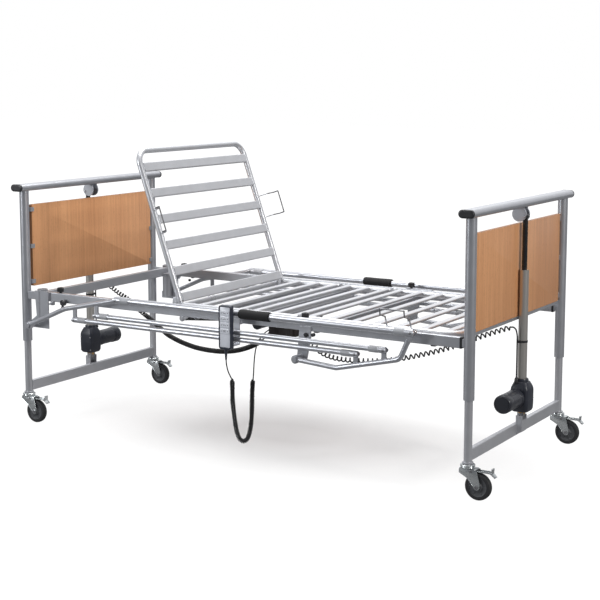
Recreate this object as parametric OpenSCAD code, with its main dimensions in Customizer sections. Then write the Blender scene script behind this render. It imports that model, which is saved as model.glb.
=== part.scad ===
// Electric profiling bed: two height-adjustable end frames on braked swivel
// castors, a two-part platform with four slatted sections, a fold-down side
// guard on each side and a hand control on a curly cord.
// X runs from head to foot, Y to the far side, Z up; the origin is on the
// floor under the middle of the bed's bounding box.

/* [Overall] */
// Distance between the head and foot posts, centre to centre
post_span = 2095; // [1950:5:2150]
// Distance between the near and far posts, centre to centre
post_gap = 880; // [860:5:900]
// Height of the top rails' centre line with the lifts at rest
top_rail_z = 1025; // [1000:5:1060]
// Height of the section hinges and of the flat sections' side tubes
deck_z = 575; // [570:1:580]
// Angle of the backrest above the platform as modelled
back_angle = 70.4; // [60:0.1:72]

/* [End frames] */
// Outer radius of the posts
post_r = 20; // [18:0.5:22]
// Outer radius of the inner legs
leg_r = 15; // [13:0.5:16]
// Length of top rail past each post
rail_overhang = 50; // [30:1:60]
// Thickness of the head and foot panels
panel_t = 16; // [12:1:20]
// Height of the panels
panel_h = 355; // [300:5:360]

/* [Lift columns] */
// Radius of a lift column
column_r = 17.5; // [16:0.5:20]
// Radius of a lift rod
lift_rod_r = 10; // [8:0.5:11]

/* [Platform] */
// Height of the side rails' section
side_rail_h = 40; // [30:1:44]
// Width of the side rails' section
side_rail_w = 20; // [16:1:24]
// Radius of the round side tubes of the sections
section_tube_r = 12.5; // [10:0.5:13]
// Width of the backrest's slats
slat_w = 38; // [30:1:42]
// Width of the seat's and thigh section's slats
flat_slat_w = 26; // [22:1:36]
// Thickness of those slats
slat_t = 15; // [12:1:16]
// Inside radius of the lifting-pole sleeves
pole_bore_r = 17.5; // [16:0.5:18]

/* [Side guards] */
// Radius of the guards' top bars
top_bar_r = 13; // [11:0.5:14]
// Radius of the guards' lower bars
low_bar_r = 10; // [8:0.5:10]
// Distance of the guards from the middle of the bed
guard_y = 495; // [492:1:505]

/* [Castors] */
// Wheel radius
wheel_r = 50; // [50:1:50]
// How far the axle trails behind the swivel
trail = 43; // [38:1:44]

/* [Hand control] */
// Width of the hand control
handset_w = 58; // [56:1:66]
// Height of the hand control
handset_h = 172; // [160:1:180]

/* [Hidden] */
$fn = 48;

// The origin is the middle of the bounding box: the castors trail towards the
// foot and the hand control hangs on the near side.
shift_x = -22;
shift_y = 16;

fit = 0.05;             // radial running clearance of every pin
end_x = post_span / 2;  // posts
side_y = post_gap / 2;  // posts and side rails

// Legs and castors
leg_bottom = 134;
leg_top = 800;
cross_z = 158;
cross_h = 44;
cross_t = 20;
post_bottom = 359;
bush_h = 40;

// Lift columns, standing just outside the end panels
lift_x = end_x + 20;
lift_pin_z = 210;
housing_z = [228, 345];
column_top = 774;
rod_top_z = 977;
cheek_r = 28.5;
lift_pin_r = 5;

// Panels
panel_y = side_y - 28;
panel_z = 595;
panel_x = end_x - 7.5;

// Platform
joint_x = 368;
slat_top = 11.5;
sleeve_out_r = 22;
sleeve_x = -955;
rail_head_x = -936;
rail_foot_x = 1013;
head_rail_x = -948;
foot_rail_x = 900;
rail_z = 563;
rail_wall = 2;
tube_y = 380;
back_hinge_x = -260;
thigh_hinge_x = 62;
knee_x = 316;
back_len = 657;
calf_end_x = 975;
hinge_r = 6;
lug_r = 13;
hinge_gap = 17;
back_slats = [for (i = [0:5]) 30 + i * 111];
seat_slats = [-164, -68, 28];
thigh_slats = [94, 189, 284];
calf_slats = [for (i = [0:6]) 348 + i * 97];
calf_slat = [29, 10];   // width and thickness

// Section actuators
back_pivot = [60, 505];
back_tip = [-440, 465];
leg_pivot = [-150, 505];
leg_tip = [90, 485];
actuator_y = 120;
rod_r = 10;
back_bar = [-293, 563];
leg_bar = [107, 540];
bar_r = 11;

// Guards: pivots of the two arms and the three bars' joints from them
head_pivot = [-985, 440];
foot_pivot = [360, 440];
top_joint = [485, 150];
mid_joint = [375, 75];
low_joint = [258, 48];
arm_r = 10;
joint_pin_r = 4;

// Hand control
handset_x = 62;
handset_back_y = -516;
handset_t = 20;
handset_z = 452;
key_pitch = 23.5;
stud_z = 535;

// Cord routes: points chosen by hand, each with the radius there
handset_route = [
    [64, -530, 411.5, 2.5], [66, -530, 392, 2.5], [72, -529, 368, 2.5], [80, -527, 350, 2.5],
    [86, -525, 338, 2.5], [88, -524, 328, 10], [88, -523, 290, 10], [88, -522, 250, 10],
    [92, -521, 210, 10], [97, -520, 170, 10], [104, -518, 130, 10], [114, -514, 102, 10],
    [128, -506, 92, 10], [140, -496, 104, 10], [146, -488, 135, 10], [147, -480, 175, 10],
    [144, -472, 215, 10], [140, -464, 255, 10], [136, -456, 290, 10], [134, -450, 318, 10],
    [133, -446, 328, 2.5], [130, -438, 350, 2.5], [124, -426, 380, 2.5], [118, -412, 410, 2.5],
    [114, -396, 440, 2.5], [114, -376, 466, 2.5], [120, -352, 488, 2.5], [130, -330, 502, 2.5],
    [142, -318, 508, 2.5], [149, -316, 510, 2.5]
];
head_cable_route = [
    [-1050, 42, 546, 3], [-1042, 48, 552, 3], [-1030, 52, 552, 3], [-1018, 54, 548, 11],
    [-985, 54, 532, 11], [-935, 50, 508, 11], [-890, 44, 492, 11], [-848, 34, 474, 11],
    [-800, 20, 450, 11], [-750, 6, 430, 11], [-700, -8, 411, 11], [-640, -30, 388, 11],
    [-580, -55, 368, 11], [-510, -88, 359, 11], [-440, -120, 354, 11], [-364, -156, 353, 11],
    [-290, -192, 357, 11], [-220, -225, 364, 11], [-154, -250, 372, 11], [-79, -272, 386, 11],
    [-20, -286, 403, 11], [37, -298, 426, 11], [72, -302, 446, 11], [84, -303, 454, 3],
    [104, -302, 474, 3], [122, -300, 495, 3], [137, -300, 507, 3], [149, -300, 510, 3]
];
foot_cable_route = [
    [1052, -38, 552, 3], [1046, -43, 558, 3], [1040, -48, 558, 3], [1032, -54, 555, 11],
    [1010, -70, 548, 11], [980, -92, 537, 11], [932, -130, 518, 11], [898, -164, 503, 11],
    [864, -200, 489, 11], [820, -238, 475, 11], [775, -270, 463, 11], [725, -298, 451, 11],
    [660, -315, 438, 11], [590, -326, 429, 11], [504, -332, 423, 11], [440, -330, 423, 11],
    [390, -325, 430, 11], [350, -316, 444, 11], [326, -309, 460, 11], [318, -306, 468, 3],
    [302, -302, 488, 3], [286, -300, 504, 3], [271, -300, 510, 3]
];
cord_sides = 8;

// ---------- helpers ----------

module along_x(x0, x1, y, z) translate([x0, y, z]) rotate([90, 0, 90]) linear_extrude(x1 - x0) children();
module along_y(y0, y1, x, z) translate([x, y1, z]) rotate([90, 0, 0]) linear_extrude(y1 - y0) children();
module along_z(z0, z1, x, y) translate([x, y, z0]) linear_extrude(z1 - z0) children();
module block(x, y, z) translate([x[0], y[0], z[0]]) cube([x[1] - x[0], y[1] - y[0], z[1] - z[0]]);
module both_sides() {
    children();
    mirror([0, 1, 0]) children();
}
module at_foot() rotate([0, 0, 180]) children();

// Rectangle with round corners, centred
module round_rect(w, h, r) {
    square([w - 2 * r, h], center = true);
    square([w, h - 2 * r], center = true);
    for (x = [-1, 1], y = [-1, 1]) translate([x * (w / 2 - r), y * (h / 2 - r)]) circle(r);
}
module hollow_rect(w, h, r, wall) difference() {
    round_rect(w, h, r);
    square([w - 2 * wall, h - 2 * wall], center = true);
}
module ring(r_out, r_in) difference() {
    circle(r_out);
    circle(r_in);
}
// Plate outline joining two round ends; its sides stand a hair inside them
module link(a, b, r) {
    d = b - a;
    w = r - 0.1;
    translate(a) circle(r);
    translate(b) circle(r);
    translate(a) rotate(atan2(d.y, d.x)) translate([0, -w]) square([norm(d), 2 * w]);
}
// Straight round rod between two points
module rod(a, b, r) {
    d = b - a;
    translate(a) rotate([0, acos(d.z / norm(d)), atan2(d.y, d.x)]) cylinder(h = norm(d), r = r);
}
// Bent wire whose corners are balls a hair thicker than its stretches
module wire(points, r) {
    for (i = [0:len(points) - 2]) rod(points[i], points[i + 1], r);
    for (i = [1:len(points) - 2]) translate(points[i]) sphere(r + 0.25);
}

function unit(v) = v / norm(v);
function turn(a, b, c) = let (u = b - a, v = c - b)
    atan2(u.x * v.y - u.y * v.x, u.x * v.x + u.y * v.y);
function cut(points, i, bend) = i <= 0 || i >= len(points) - 1 ? 0
    : bend * tan(abs(turn(points[i - 1], points[i], points[i + 1])) / 2);
// Round bar in the XY plane along straight stretches joined by true bends;
// each straight runs 1 mm into the bends, a hair thinner, so that they join
module bent_bar(points, r, bend) {
    last = len(points) - 1;
    for (i = [0:last - 1]) {
        u = unit(points[i + 1] - points[i]);
        a = points[i] + u * (cut(points, i, bend) - (i == 0 ? 0 : 1));
        b = points[i + 1] - u * (cut(points, i + 1, bend) - (i == last - 1 ? 0 : 1));
        translate([a.x, a.y, 0]) rotate([0, 0, atan2(u.y, u.x)]) rotate([0, 90, 0])
            cylinder(h = norm(b - a), r = r - 0.1);
    }
    for (i = [1:last - 1]) {
        u = unit(points[i] - points[i - 1]);
        t = turn(points[i - 1], points[i], points[i + 1]);
        a = points[i] - u * cut(points, i, bend);
        s = sign(t);
        centre = a + s * bend * [-u.y, u.x];
        translate([centre.x, centre.y, 0]) rotate([0, 0, atan2(u.y, u.x) - s * 90 + min(0, t)])
            rotate_extrude(angle = abs(t)) translate([bend, 0]) circle(r);
    }
}

// A cord's tube: rings square to the route, joined into one closed skin
function cross3(a, b) = [a.y * b.z - a.z * b.y, a.z * b.x - a.x * b.z, a.x * b.y - a.y * b.x];
function place(p) = [p[0], p[1], p[2]];
function heading(route, i) = unit(place(route[min(i + 1, len(route) - 1)]) - place(route[max(i - 1, 0)]));
function side_of(d) = unit(cross3(abs(d.z) > 0.9 ? [0, 1, 0] : [0, 0, 1], d));
function next_side(s, d) = unit(s - (s * d) * d);
function sides(route, i = 0, s = undef) = i >= len(route) ? [] : let (
    d = heading(route, i),
    here = i == 0 ? side_of(d) : next_side(s, d)
) concat([here], sides(route, i + 1, here));
module cord(route) {
    n = len(route);
    k = cord_sides;
    around = sides(route);
    points = [for (i = [0:n - 1]) let (d = heading(route, i), a = around[i], b = cross3(d, a))
        for (j = [0:k - 1])
            place(route[i]) + route[i][3] * (cos(360 * j / k) * a + sin(360 * j / k) * b)];
    skin = [for (i = [0:n - 2]) for (j = [0:k - 1])
        for (f = [[i * k + j, (i + 1) * k + j, i * k + (j + 1) % k],
                  [i * k + (j + 1) % k, (i + 1) * k + j, (i + 1) * k + (j + 1) % k]]) f];
    polyhedron(points, concat(skin, [[for (j = [0:k - 1]) j]],
        [[for (j = [0:k - 1]) (n - 1) * k + k - 1 - j]]));
}

// ---------- end frames ----------

module legs() {
    both_sides() difference() {
        union() {
            along_z(leg_bottom, leg_top, end_x, side_y) circle(leg_r);
            along_z(leg_bottom - 6, leg_bottom, end_x, side_y) circle(20);
            along_z(112, leg_bottom - 6, end_x, side_y) circle(hinge_r);
        }
        along_z(leg_bottom + 8, leg_top + 1, end_x, side_y) circle(leg_r - 2);
    }
    along_y(-side_y + leg_r - 1, side_y - leg_r + 1, end_x, cross_z)
        hollow_rect(cross_t, cross_h, 3, rail_wall);
    // Channel that carries the lift's lower pin
    for (s = [-1, 1]) along_y(s * 21 - 2.5, s * 21 + 2.5, 0, 0) difference() {
        polygon([[end_x + 8, 138], [lift_x + 12, 152], [lift_x + 13, 214], [lift_x - 13, 214],
            [end_x + 8, 180]]);
        translate([lift_x, lift_pin_z]) circle(lift_pin_r);
    }
    block([lift_x + 8, lift_x + 12], [-23.5, 23.5], [153, 196]);
    block([end_x + 9, lift_x + 10], [-20, 20], [150, 154]);
    along_y(-27, 27, lift_x, lift_pin_z) circle(lift_pin_r);
}

module lift_housing() {
    along_z(housing_z[0], housing_z[1], lift_x + 1, 0) round_rect(72, 74, 10);
    along_z(housing_z[1] - 0.5, housing_z[1] + 12, lift_x, 0) ring(24, column_r);
    // Lower lug on its pin
    along_y(-14, 14, 0, 0) difference() {
        union() {
            translate([lift_x, lift_pin_z]) circle(11);
            translate([lift_x - 11, lift_pin_z]) square([22, housing_z[0] - lift_pin_z + 1]);
        }
        translate([lift_x, lift_pin_z]) circle(lift_pin_r + fit);
    }
    // Motor can, pointing across the bed
    along_y(-172, -35, end_x + 14, 287) circle(35);
    along_y(-178, -172, end_x + 14, 287) circle(31);
    block([end_x - 6, end_x + 34], [-60, -30], [262, 330]);
    // Cable gland, and the lead clipped to the column
    along_z(housing_z[1] - 1, 362, end_x + 8, -28) circle(7);
    along_z(361, 520, end_x + 8, -26) circle(3);
    along_z(496, 504, 0, 0) difference() {
        translate([end_x + 14, -21]) round_rect(20, 14, 3);
        translate([lift_x, 0]) circle(column_r + 0.02);
    }
}

module lift_column() difference() {
    along_z(housing_z[1] + 0.1, column_top, lift_x, 0) circle(column_r);
    along_z(housing_z[1] + 5, column_top - 10, lift_x, 0) circle(column_r - 3);
    along_z(column_top - 11, column_top + 1, lift_x, 0) circle(lift_rod_r + 0.3);
}

module lift_rod() {
    along_z(530, rod_top_z - 8, lift_x, 0) circle(lift_rod_r);
    along_y(-11, 11, 0, 0) difference() {
        translate([lift_x, rod_top_z]) circle(13);
        translate([lift_x, rod_top_z]) circle(lift_pin_r + fit);
    }
}

module end_frame() {
    both_sides() {
        difference() {
            along_z(post_bottom, top_rail_z - 10, end_x, side_y) circle(post_r);
            along_z(post_bottom + bush_h, top_rail_z - 20, end_x, side_y) circle(post_r - 2);
            along_z(post_bottom - 1, post_bottom + bush_h + 1, end_x, side_y) circle(leg_r + 0.3);
        }
        // Clips that hold the panel's edge
        for (z = [616, 770, 929]) {
            block([panel_x - 11.3, panel_x + 8], [panel_y + 0.3, side_y - post_r + 3], [z - 9, z + 9]);
            block([panel_x - 11.3, panel_x - 8.3], [panel_y - 12, panel_y + 1], [z - 9, z + 9]);
        }
    }
    along_y(-side_y - rail_overhang + 10, side_y + rail_overhang - 10, end_x, top_rail_z) {
        square([30, 30], center = true);
        for (s = [-1, 1]) translate([15 * s, 0]) circle(15);
    }
    // Round cheeks for the lift's upper pin
    for (s = [-1, 1]) along_y(s * 16 - 3, s * 16 + 3, 0, 0) union() {
        translate([end_x + 2, 985]) circle(cheek_r);
        translate([end_x - 18, 985]) square([40, 30]);
    }
    along_y(-23, 23, lift_x, rod_top_z) circle(lift_pin_r);
}

module panel() block([panel_x - panel_t / 2, panel_x + panel_t / 2], [-panel_y, panel_y],
    [panel_z, panel_z + panel_h]);

module rail_cap(x, y0, y1) along_y(y0, y1, x, top_rail_z) {
    square([30, 31], center = true);
    for (s = [-1, 1]) translate([15 * s, 0]) circle(15.5);
}
module rail_end_caps() color("#1d1e22") {
    for (x = [-end_x, end_x]) both_sides()
        rail_cap(x, side_y + rail_overhang - 9.9, side_y + rail_overhang);
    both_sides() along_x(rail_foot_x + 0.1, rail_foot_x + 8, side_y, rail_z) difference() {
        round_rect(side_rail_w + 1, side_rail_h + 1, 3);
        square([17.4, 28.4], center = true);
    }
}

module head_legs() color("#b9bbc0") at_foot() legs();
module foot_legs() color("#b9bbc0") legs();
module head_lift_housing() color("#20232c") at_foot() lift_housing();
module foot_lift_housing() color("#20232c") lift_housing();
module head_lift_column() color("#cfccc6") at_foot() lift_column();
module foot_lift_column() color("#cfccc6") lift_column();
module head_lift_rod() color("#141414") at_foot() lift_rod();
module foot_lift_rod() color("#141414") lift_rod();
module head_end_frame() color("#b9bbc0") at_foot() end_frame();
module foot_end_frame() color("#b9bbc0") {
    end_frame();
    // Lip under the panel
    block([panel_x - 10, panel_x + 8], [-side_y + post_r - 2, side_y - post_r + 2], [583, 594.5]);
}
module head_panel() color("#c98f5e") at_foot() panel();
module foot_panel() color("#c98f5e") panel();

// ---------- castors ----------

// Fork, wheel and brake are drawn about the swivel axis and moved to a corner
module at_corner(x_sign, y_sign) translate([x_sign * end_x, y_sign * side_y, 0]) children();

module fork() color("#c9cdd0") {
    difference() {
        union() {
            along_z(114, 127, 0, 0) circle(27);
            block([-27, 34], [-18, 18], [111, 114.5]);
            for (s = [-1, 1]) along_y(s * 16.5 - 1.5, s * 16.5 + 1.5, 0, 0)
                polygon([[-27, 114], [40, 114], [56, 54], [51, 40], [36, 39], [28, 52], [-27, 96]]);
        }
        along_z(110, 128, 0, 0) circle(hinge_r + fit);
    }
    along_y(-22, 22, trail, wheel_r) circle(4);
    for (s = [-1, 1]) along_y(s * 20.5 - 2.5, s * 20.5 + 2.5, trail, wheel_r) circle(8, $fn = 6);
    along_y(-15, 15, 20, 105.5) circle(2.5);
}
module wheel() color("#3a3b3f") {
    along_y(-12, 12, trail, wheel_r) ring(wheel_r, 36.2);
    along_y(-10, 10, trail, wheel_r) ring(36, 26);
    along_y(-5, 5, trail, wheel_r) ring(27, 12);
    along_y(-14, 14, trail, wheel_r) ring(13, 4 + fit);
}
module brake() color("#c9cdd0") {
    along_y(-11, 11, 0, 0) difference() {
        union() {
            translate([20, 105.5]) circle(4.5);
            polygon([[20, 104], [92, 104], [109, 90], [112, 93], [98, 105.5],
                [99, 122], [96, 122], [95, 107], [20, 107]]);
        }
        translate([20, 105.5]) circle(2.5 + fit);
    }
}

// ---------- platform ----------

module side_rail(x0, x1) along_x(x0, x1, side_y, rail_z) hollow_rect(side_rail_w, side_rail_h, 3, rail_wall);
module cross_rail(x, h, z) along_y(-side_y + side_rail_w / 2 - 1, side_y - side_rail_w / 2 + 1, x, z)
    hollow_rect(20, h, 3, rail_wall);
module hinge_pin(x) along_y(tube_y - 14, side_y - side_rail_w / 2 + 1, x, deck_z) circle(hinge_r);

// Cross rail with two plates that hold an actuator's rear pin
module actuator_hanger(pivot, y) {
    cross_rail(pivot.x, 25, 547.5);
    for (s = [-1, 1]) along_y(y + s * 27.5 - 2, y + s * 27.5 + 2, 0, 0) {
        translate(pivot) circle(14);
        translate([pivot.x - 14, pivot.y]) square([28, 32]);
    }
    along_y(y - 32, y + 32, pivot.x, pivot.y) circle(hinge_r);
}

// Lifting-pole sleeve, and the block that hooks onto the post
module pole_sleeve() color("#b9bbc0") difference() {
    union() {
        along_z(440, 592, sleeve_x, side_y) circle(sleeve_out_r);
        block([-end_x, sleeve_x - 12], [side_y - 10, side_y + 10], [545, 577]);
    }
    along_z(439, 593, sleeve_x, side_y) circle(pole_bore_r);
    along_z(439, 593, -end_x, side_y) circle(post_r + 0.02);
}
module near_pole_sleeve() mirror([0, 1, 0]) pole_sleeve();
module far_pole_sleeve() pole_sleeve();

module head_platform_frame() color("#b9bbc0") difference() {
    head_rails();
    both_sides() along_z(438, 594, sleeve_x, side_y) circle(sleeve_out_r + 0.02);
}
module head_rails() {
    both_sides() {
        side_rail(rail_head_x, joint_x - 0.3);
        // Corner plate with the guard's head pivot
        along_y(side_y + 17, side_y + 22, 0, 0)
            polygon([[-980, 586], [-905, 586], [-905, 426], [-1002, 426], [-1002, 456], [-972, 478]]);
        block([-935, -905], [side_y + 8, side_y + 18], [546, 580]);
        along_y(side_y + 21, guard_y - 11, head_pivot.x, head_pivot.y) circle(13);
        along_y(side_y + 21, guard_y + 15, head_pivot.x, head_pivot.y) circle(hinge_r);
        along_y(guard_y + 11, guard_y + 16, head_pivot.x, head_pivot.y) circle(11);
        hinge_pin(back_hinge_x);
        hinge_pin(thigh_hinge_x);
        // Ledge that the lowered backrest lies on
        block([-925, -860], [tube_y - 14, side_y - 9], [556, 561.8]);
        // Spring pin and its bracket
        along_y(side_y + 9, side_y + 24, -895, 535) circle(4);
        block([-900, -888], [side_y - 2, side_y + 12], [528, 545]);
    }
    cross_rail(head_rail_x, side_rail_h, rail_z);
    actuator_hanger(back_pivot, -actuator_y);
    actuator_hanger(leg_pivot, actuator_y);
}

module foot_platform_frame() color("#b9bbc0") {
    both_sides() {
        side_rail(joint_x, rail_foot_x);
        // Spigot into the post's socket
        difference() {
            block([rail_foot_x - 40, end_x], [side_y - 8.5, side_y + 8.5], [rail_z - 14, rail_z + 14]);
            along_z(rail_z - 15, rail_z + 15, end_x, side_y) circle(post_r + 0.02);
        }
        // Strap over the platform joint
        block([345, 470], [side_y - 8, side_y + 8], [rail_z + 20.2, rail_z + 24]);
        block([joint_x + 1, 470], [side_y - 8, side_y + 8], [rail_z + 19, rail_z + 21]);
        // Side plate with the guard's foot pivot
        along_y(side_y + 12, side_y + 17, 0, 0) difference() {
            polygon([[352, 560], [402, 560], [402, 520], [384, 430], [348, 424], [342, 450]]);
            translate([382, 530]) circle(4);
        }
        block([372, 402], [side_y + 8, side_y + 13], [545, 560]);
        along_y(side_y + 16, guard_y - 11, foot_pivot.x, foot_pivot.y) circle(13);
        along_y(side_y + 16, guard_y + 15, foot_pivot.x, foot_pivot.y) circle(hinge_r);
        along_y(guard_y + 11, guard_y + 16, foot_pivot.x, foot_pivot.y) circle(11);
        // Ledge under the calf section's end
        block([850, 985], [tube_y - 14, side_y - 9], [556, 561.8]);
    }
    cross_rail(foot_rail_x, 25, 547.5);
    cross_rail(410, 25, 547.5);
}

module knob(x, y, z) {
    along_z(z - 10, z + 9, x, y) for (a = [0:120:240]) rotate(a) {
        translate([8, 0]) circle(8);
        translate([0, -6]) square([10, 12]);
    }
    along_z(z - 15, z - 9, x, y) circle(5);
}
module clamp_knobs() color("#1d1e22") both_sides() {
    knob(368, side_y, rail_z + 39.2);
    knob(-852, side_y, rail_z + 35.2);
    along_y(side_y + 10.2, side_y + 16, -818, 547) circle(5);
    along_y(side_y + 15, side_y + 33, -818, 547) circle(13);
    along_y(side_y + 10.2, side_y + 19, -831, 525) circle(6);
    along_y(side_y + 17.3, side_y + 24, 382, 530) circle(9, $fn = 6);
    along_y(side_y + 10.3, side_y + 24, 412, 532) circle(7);
}

// ---------- sections ----------

// Slat with its ends let into the round side tubes
module slat(x, w = flat_slat_w, t = slat_t) along_y(-tube_y + section_tube_r - 3.6,
    tube_y - section_tube_r + 3.6, x, slat_top - t / 2) round_rect(w, t, 4);
module lug(x, y0, y1) along_y(y0, y1, x, 0) ring(lug_r, hinge_r + fit);
// Sections are drawn flat with their first hinge at the origin
module side_tube(x0, x1) both_sides() along_x(x0, x1, tube_y, 0) circle(section_tube_r);
module lug_plate(x, reach) both_sides() {
    lug(x, tube_y - 6, tube_y + 6);
    difference() {
        block([min(x, x + reach), max(x, x + reach)], [tube_y - 6, tube_y + 6], [-8, 8]);
        along_y(tube_y - 7, tube_y + 7, x, 0) circle(lug_r - 1);
    }
}
// Stepped wire loop that keeps a mattress in place
module mattress_loop(x) {
    y0 = tube_y + 3;
    x1 = x + 100;
    wire([
        [x, y0, 8], [x, y0 + 16, 45], [x, y0 + 55, 57], [x, y0 + 59, 80], [x1, y0 + 59, 80],
        [x1, y0 + 55, 57], [x1, y0 + 16, 45], [x1, y0, 8]
    ], 2.75);
}

module seat_section() color("#c4c6ca") translate([0, 0, deck_z]) {
    side_tube(back_hinge_x + hinge_gap, thigh_hinge_x - hinge_gap);
    for (x = seat_slats) slat(x);
    both_sides() for (x = [-205, 10])
        block([x - 12, x + 12], [tube_y + section_tube_r - 2, side_y - side_rail_w / 2], [-7, 5]);
}

module backrest_section() color("#c4c6ca")
translate([back_hinge_x, 0, deck_z]) rotate([0, back_angle, 0]) {
    bent_bar([[-hinge_gap, -tube_y], [-back_len, -tube_y], [-back_len, tube_y], [-hinge_gap, tube_y]],
        section_tube_r, 60);
    lug_plate(0, -24);
    for (x = back_slats) slat(-x, slat_w);
    both_sides() mattress_loop(-401);
    // Bar and lever plates that the actuator pushes, drawn as they hang when raised
    rotate([0, -back_angle, 0]) translate([-back_hinge_x, 0, -deck_z]) {
        along_y(-tube_y, tube_y, back_bar.x, back_bar.y) circle(bar_r);
        both_sides() along_y(tube_y - 4, tube_y + 4, 0, 0) link(back_bar, [back_bar.x + 4, back_bar.y + 34], 11);
        for (s = [-1, 1]) along_y(-actuator_y + s * 14 - 2.5, -actuator_y + s * 14 + 2.5, 0, 0)
            link(back_bar, back_tip, 13);
        for (s = [-1, 1]) along_y(-actuator_y + s * 18.5 - 2.5, -actuator_y + s * 18.5 + 2.5,
            back_tip.x, back_tip.y) circle(8);
    }
}

module thigh_section() color("#c4c6ca") {
    translate([thigh_hinge_x, 0, deck_z]) {
        side_tube(hinge_gap, knee_x - thigh_hinge_x - hinge_gap);
        lug_plate(0, 24);
        for (x = thigh_slats) slat(x - thigh_hinge_x);
    }
    both_sides() {
        // Inner knee lug and its pin
        along_y(tube_y - 10, tube_y - 2, knee_x, deck_z) circle(lug_r);
        block([knee_x - 26, knee_x - 9], [tube_y - 10, tube_y - 2], [deck_z - 8, deck_z + 8]);
        along_y(tube_y - 3, tube_y + 12, knee_x, deck_z) circle(hinge_r);
        along_y(tube_y - 4, tube_y + 4, 0, 0) link(leg_bar, [leg_bar.x, deck_z - 6], 9);
    }
    along_y(-tube_y, tube_y, leg_bar.x, leg_bar.y) circle(bar_r);
    for (s = [-1, 1]) along_y(actuator_y + s * 14 - 2.5, actuator_y + s * 14 + 2.5, 0, 0)
        link(leg_bar, leg_tip, 12);
    for (s = [-1, 1]) along_y(actuator_y + s * 18.5 - 2.5, actuator_y + s * 18.5 + 2.5,
        leg_tip.x, leg_tip.y) circle(8);
}

module calf_section() color("#c4c6ca") translate([knee_x, 0, deck_z]) {
    length = calf_end_x - knee_x;
    bent_bar([[hinge_gap, -tube_y], [length, -tube_y], [length, tube_y], [hinge_gap, tube_y]],
        section_tube_r, 60);
    both_sides() {
        along_y(tube_y - 1, tube_y + 7, 0, 0) ring(lug_r, hinge_r + fit);
        difference() {
            block([0, 26], [tube_y - 1, tube_y + 7], [-8, 8]);
            along_y(tube_y - 2, tube_y + 8, 0, 0) circle(lug_r - 1);
        }
        mattress_loop(687 - knee_x);
    }
    for (x = calf_slats) slat(x - knee_x, calf_slat[0], calf_slat[1]);
}

// ---------- section actuators ----------

// Drawn along +X from the rear pin at the origin
module actuator(length) {
    difference() {
        union() {
            along_y(-22, 22, 0, 0) {
                circle(14);
                translate([0, -14]) square([16, 28]);
                translate([12, -20]) square([50, 40]);
            }
            along_x(61, length, 0, 0) circle(16);
        }
        along_y(-23, 23, 0, 0) circle(hinge_r + fit);
        along_x(62, length + 1, 0, 0) circle(rod_r + 0.3);
    }
    along_y(21, 130, 40, 0) circle(21);
}
module actuator_rod(from, to) {
    along_x(from, to - 12, 0, 0) circle(rod_r);
    along_y(-10, 10, 0, 0) {
        translate([to - 16, -8]) square([8, 16]);
        translate([to, 0]) ring(11, 5.5);
    }
}
module aim(pivot, tip, y) translate([pivot.x, y, pivot.y])
    rotate([0, -atan2(tip.y - pivot.y, tip.x - pivot.x), 0]) children();
module backrest_actuator() color("#24262e") aim(back_pivot, back_tip, -actuator_y)
    mirror([0, 1, 0]) actuator(280);
module backrest_rod() color("#141414") aim(back_pivot, back_tip, -actuator_y)
    actuator_rod(262, norm(back_tip - back_pivot));
module leg_actuator() color("#24262e") aim(leg_pivot, leg_tip, actuator_y) actuator(200);
module leg_rod() color("#141414") aim(leg_pivot, leg_tip, actuator_y)
    actuator_rod(150, norm(leg_tip - leg_pivot));

module control_box() color("#2a2220") {
    translate([210, -300, 512]) linear_extrude(40, center = true) round_rect(120, 130, 8);
    // Sockets at both ends, and the straps that hang the box from the side rail
    along_x(149.3, 151, -316, 510) circle(8);
    along_x(149.3, 151, -300, 510) circle(7.4);
    along_x(269, 270.7, -300, 510) circle(8);
    for (x = [178, 236]) {
        block([x, x + 14], [-side_y + 9.8, -362], [538, 542]);
        block([x, x + 14], [-366, -362], [500, 542]);
    }
}

// ---------- side guards ----------

// A bar with slotted end sleeves; each sleeve's pin carries one arm
module guard_bar(joint, r, sleeve_r, sleeve_len, slot_w) {
    span = foot_pivot.x - head_pivot.x;
    translate([head_pivot.x + joint.x, 0, head_pivot.y + joint.y]) difference() {
        union() {
            along_x(14, span - 14, 0, 0) circle(r);
            for (x = [0, span]) {
                s = x == 0 ? 1 : -1;
                along_x(min(x, x + s * sleeve_len), max(x, x + s * sleeve_len), 0, 0) circle(sleeve_r);
                intersection() {
                    along_y(-sleeve_r, sleeve_r, x, 0) circle(sleeve_r);
                    along_x(x - sleeve_r, x + sleeve_r, 0, 0) circle(sleeve_r);
                }
            }
        }
        for (x = [0, span])
            block([x - sleeve_r - 5, x + sleeve_r + 5], [-slot_w / 2, slot_w / 2], [-sleeve_r - 1, sleeve_r + 1]);
    }
    for (x = [0, span]) along_y(-sleeve_r, sleeve_r, head_pivot.x + joint.x + x, head_pivot.y + joint.y)
        circle(joint_pin_r);
}
module arm_tab(from, to, r, t) along_y(-t / 2, t / 2, 0, 0) difference() {
    link(from, to, r);
    translate(to) circle(joint_pin_r + fit);
}
module arm_eye() difference() {
    along_y(-9, 9, 0, 0) circle(16);
    along_y(-10, 10, 0, 0) circle(hinge_r + fit);
}
function toward(a, b, d) = a + unit(b - a) * d;
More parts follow.
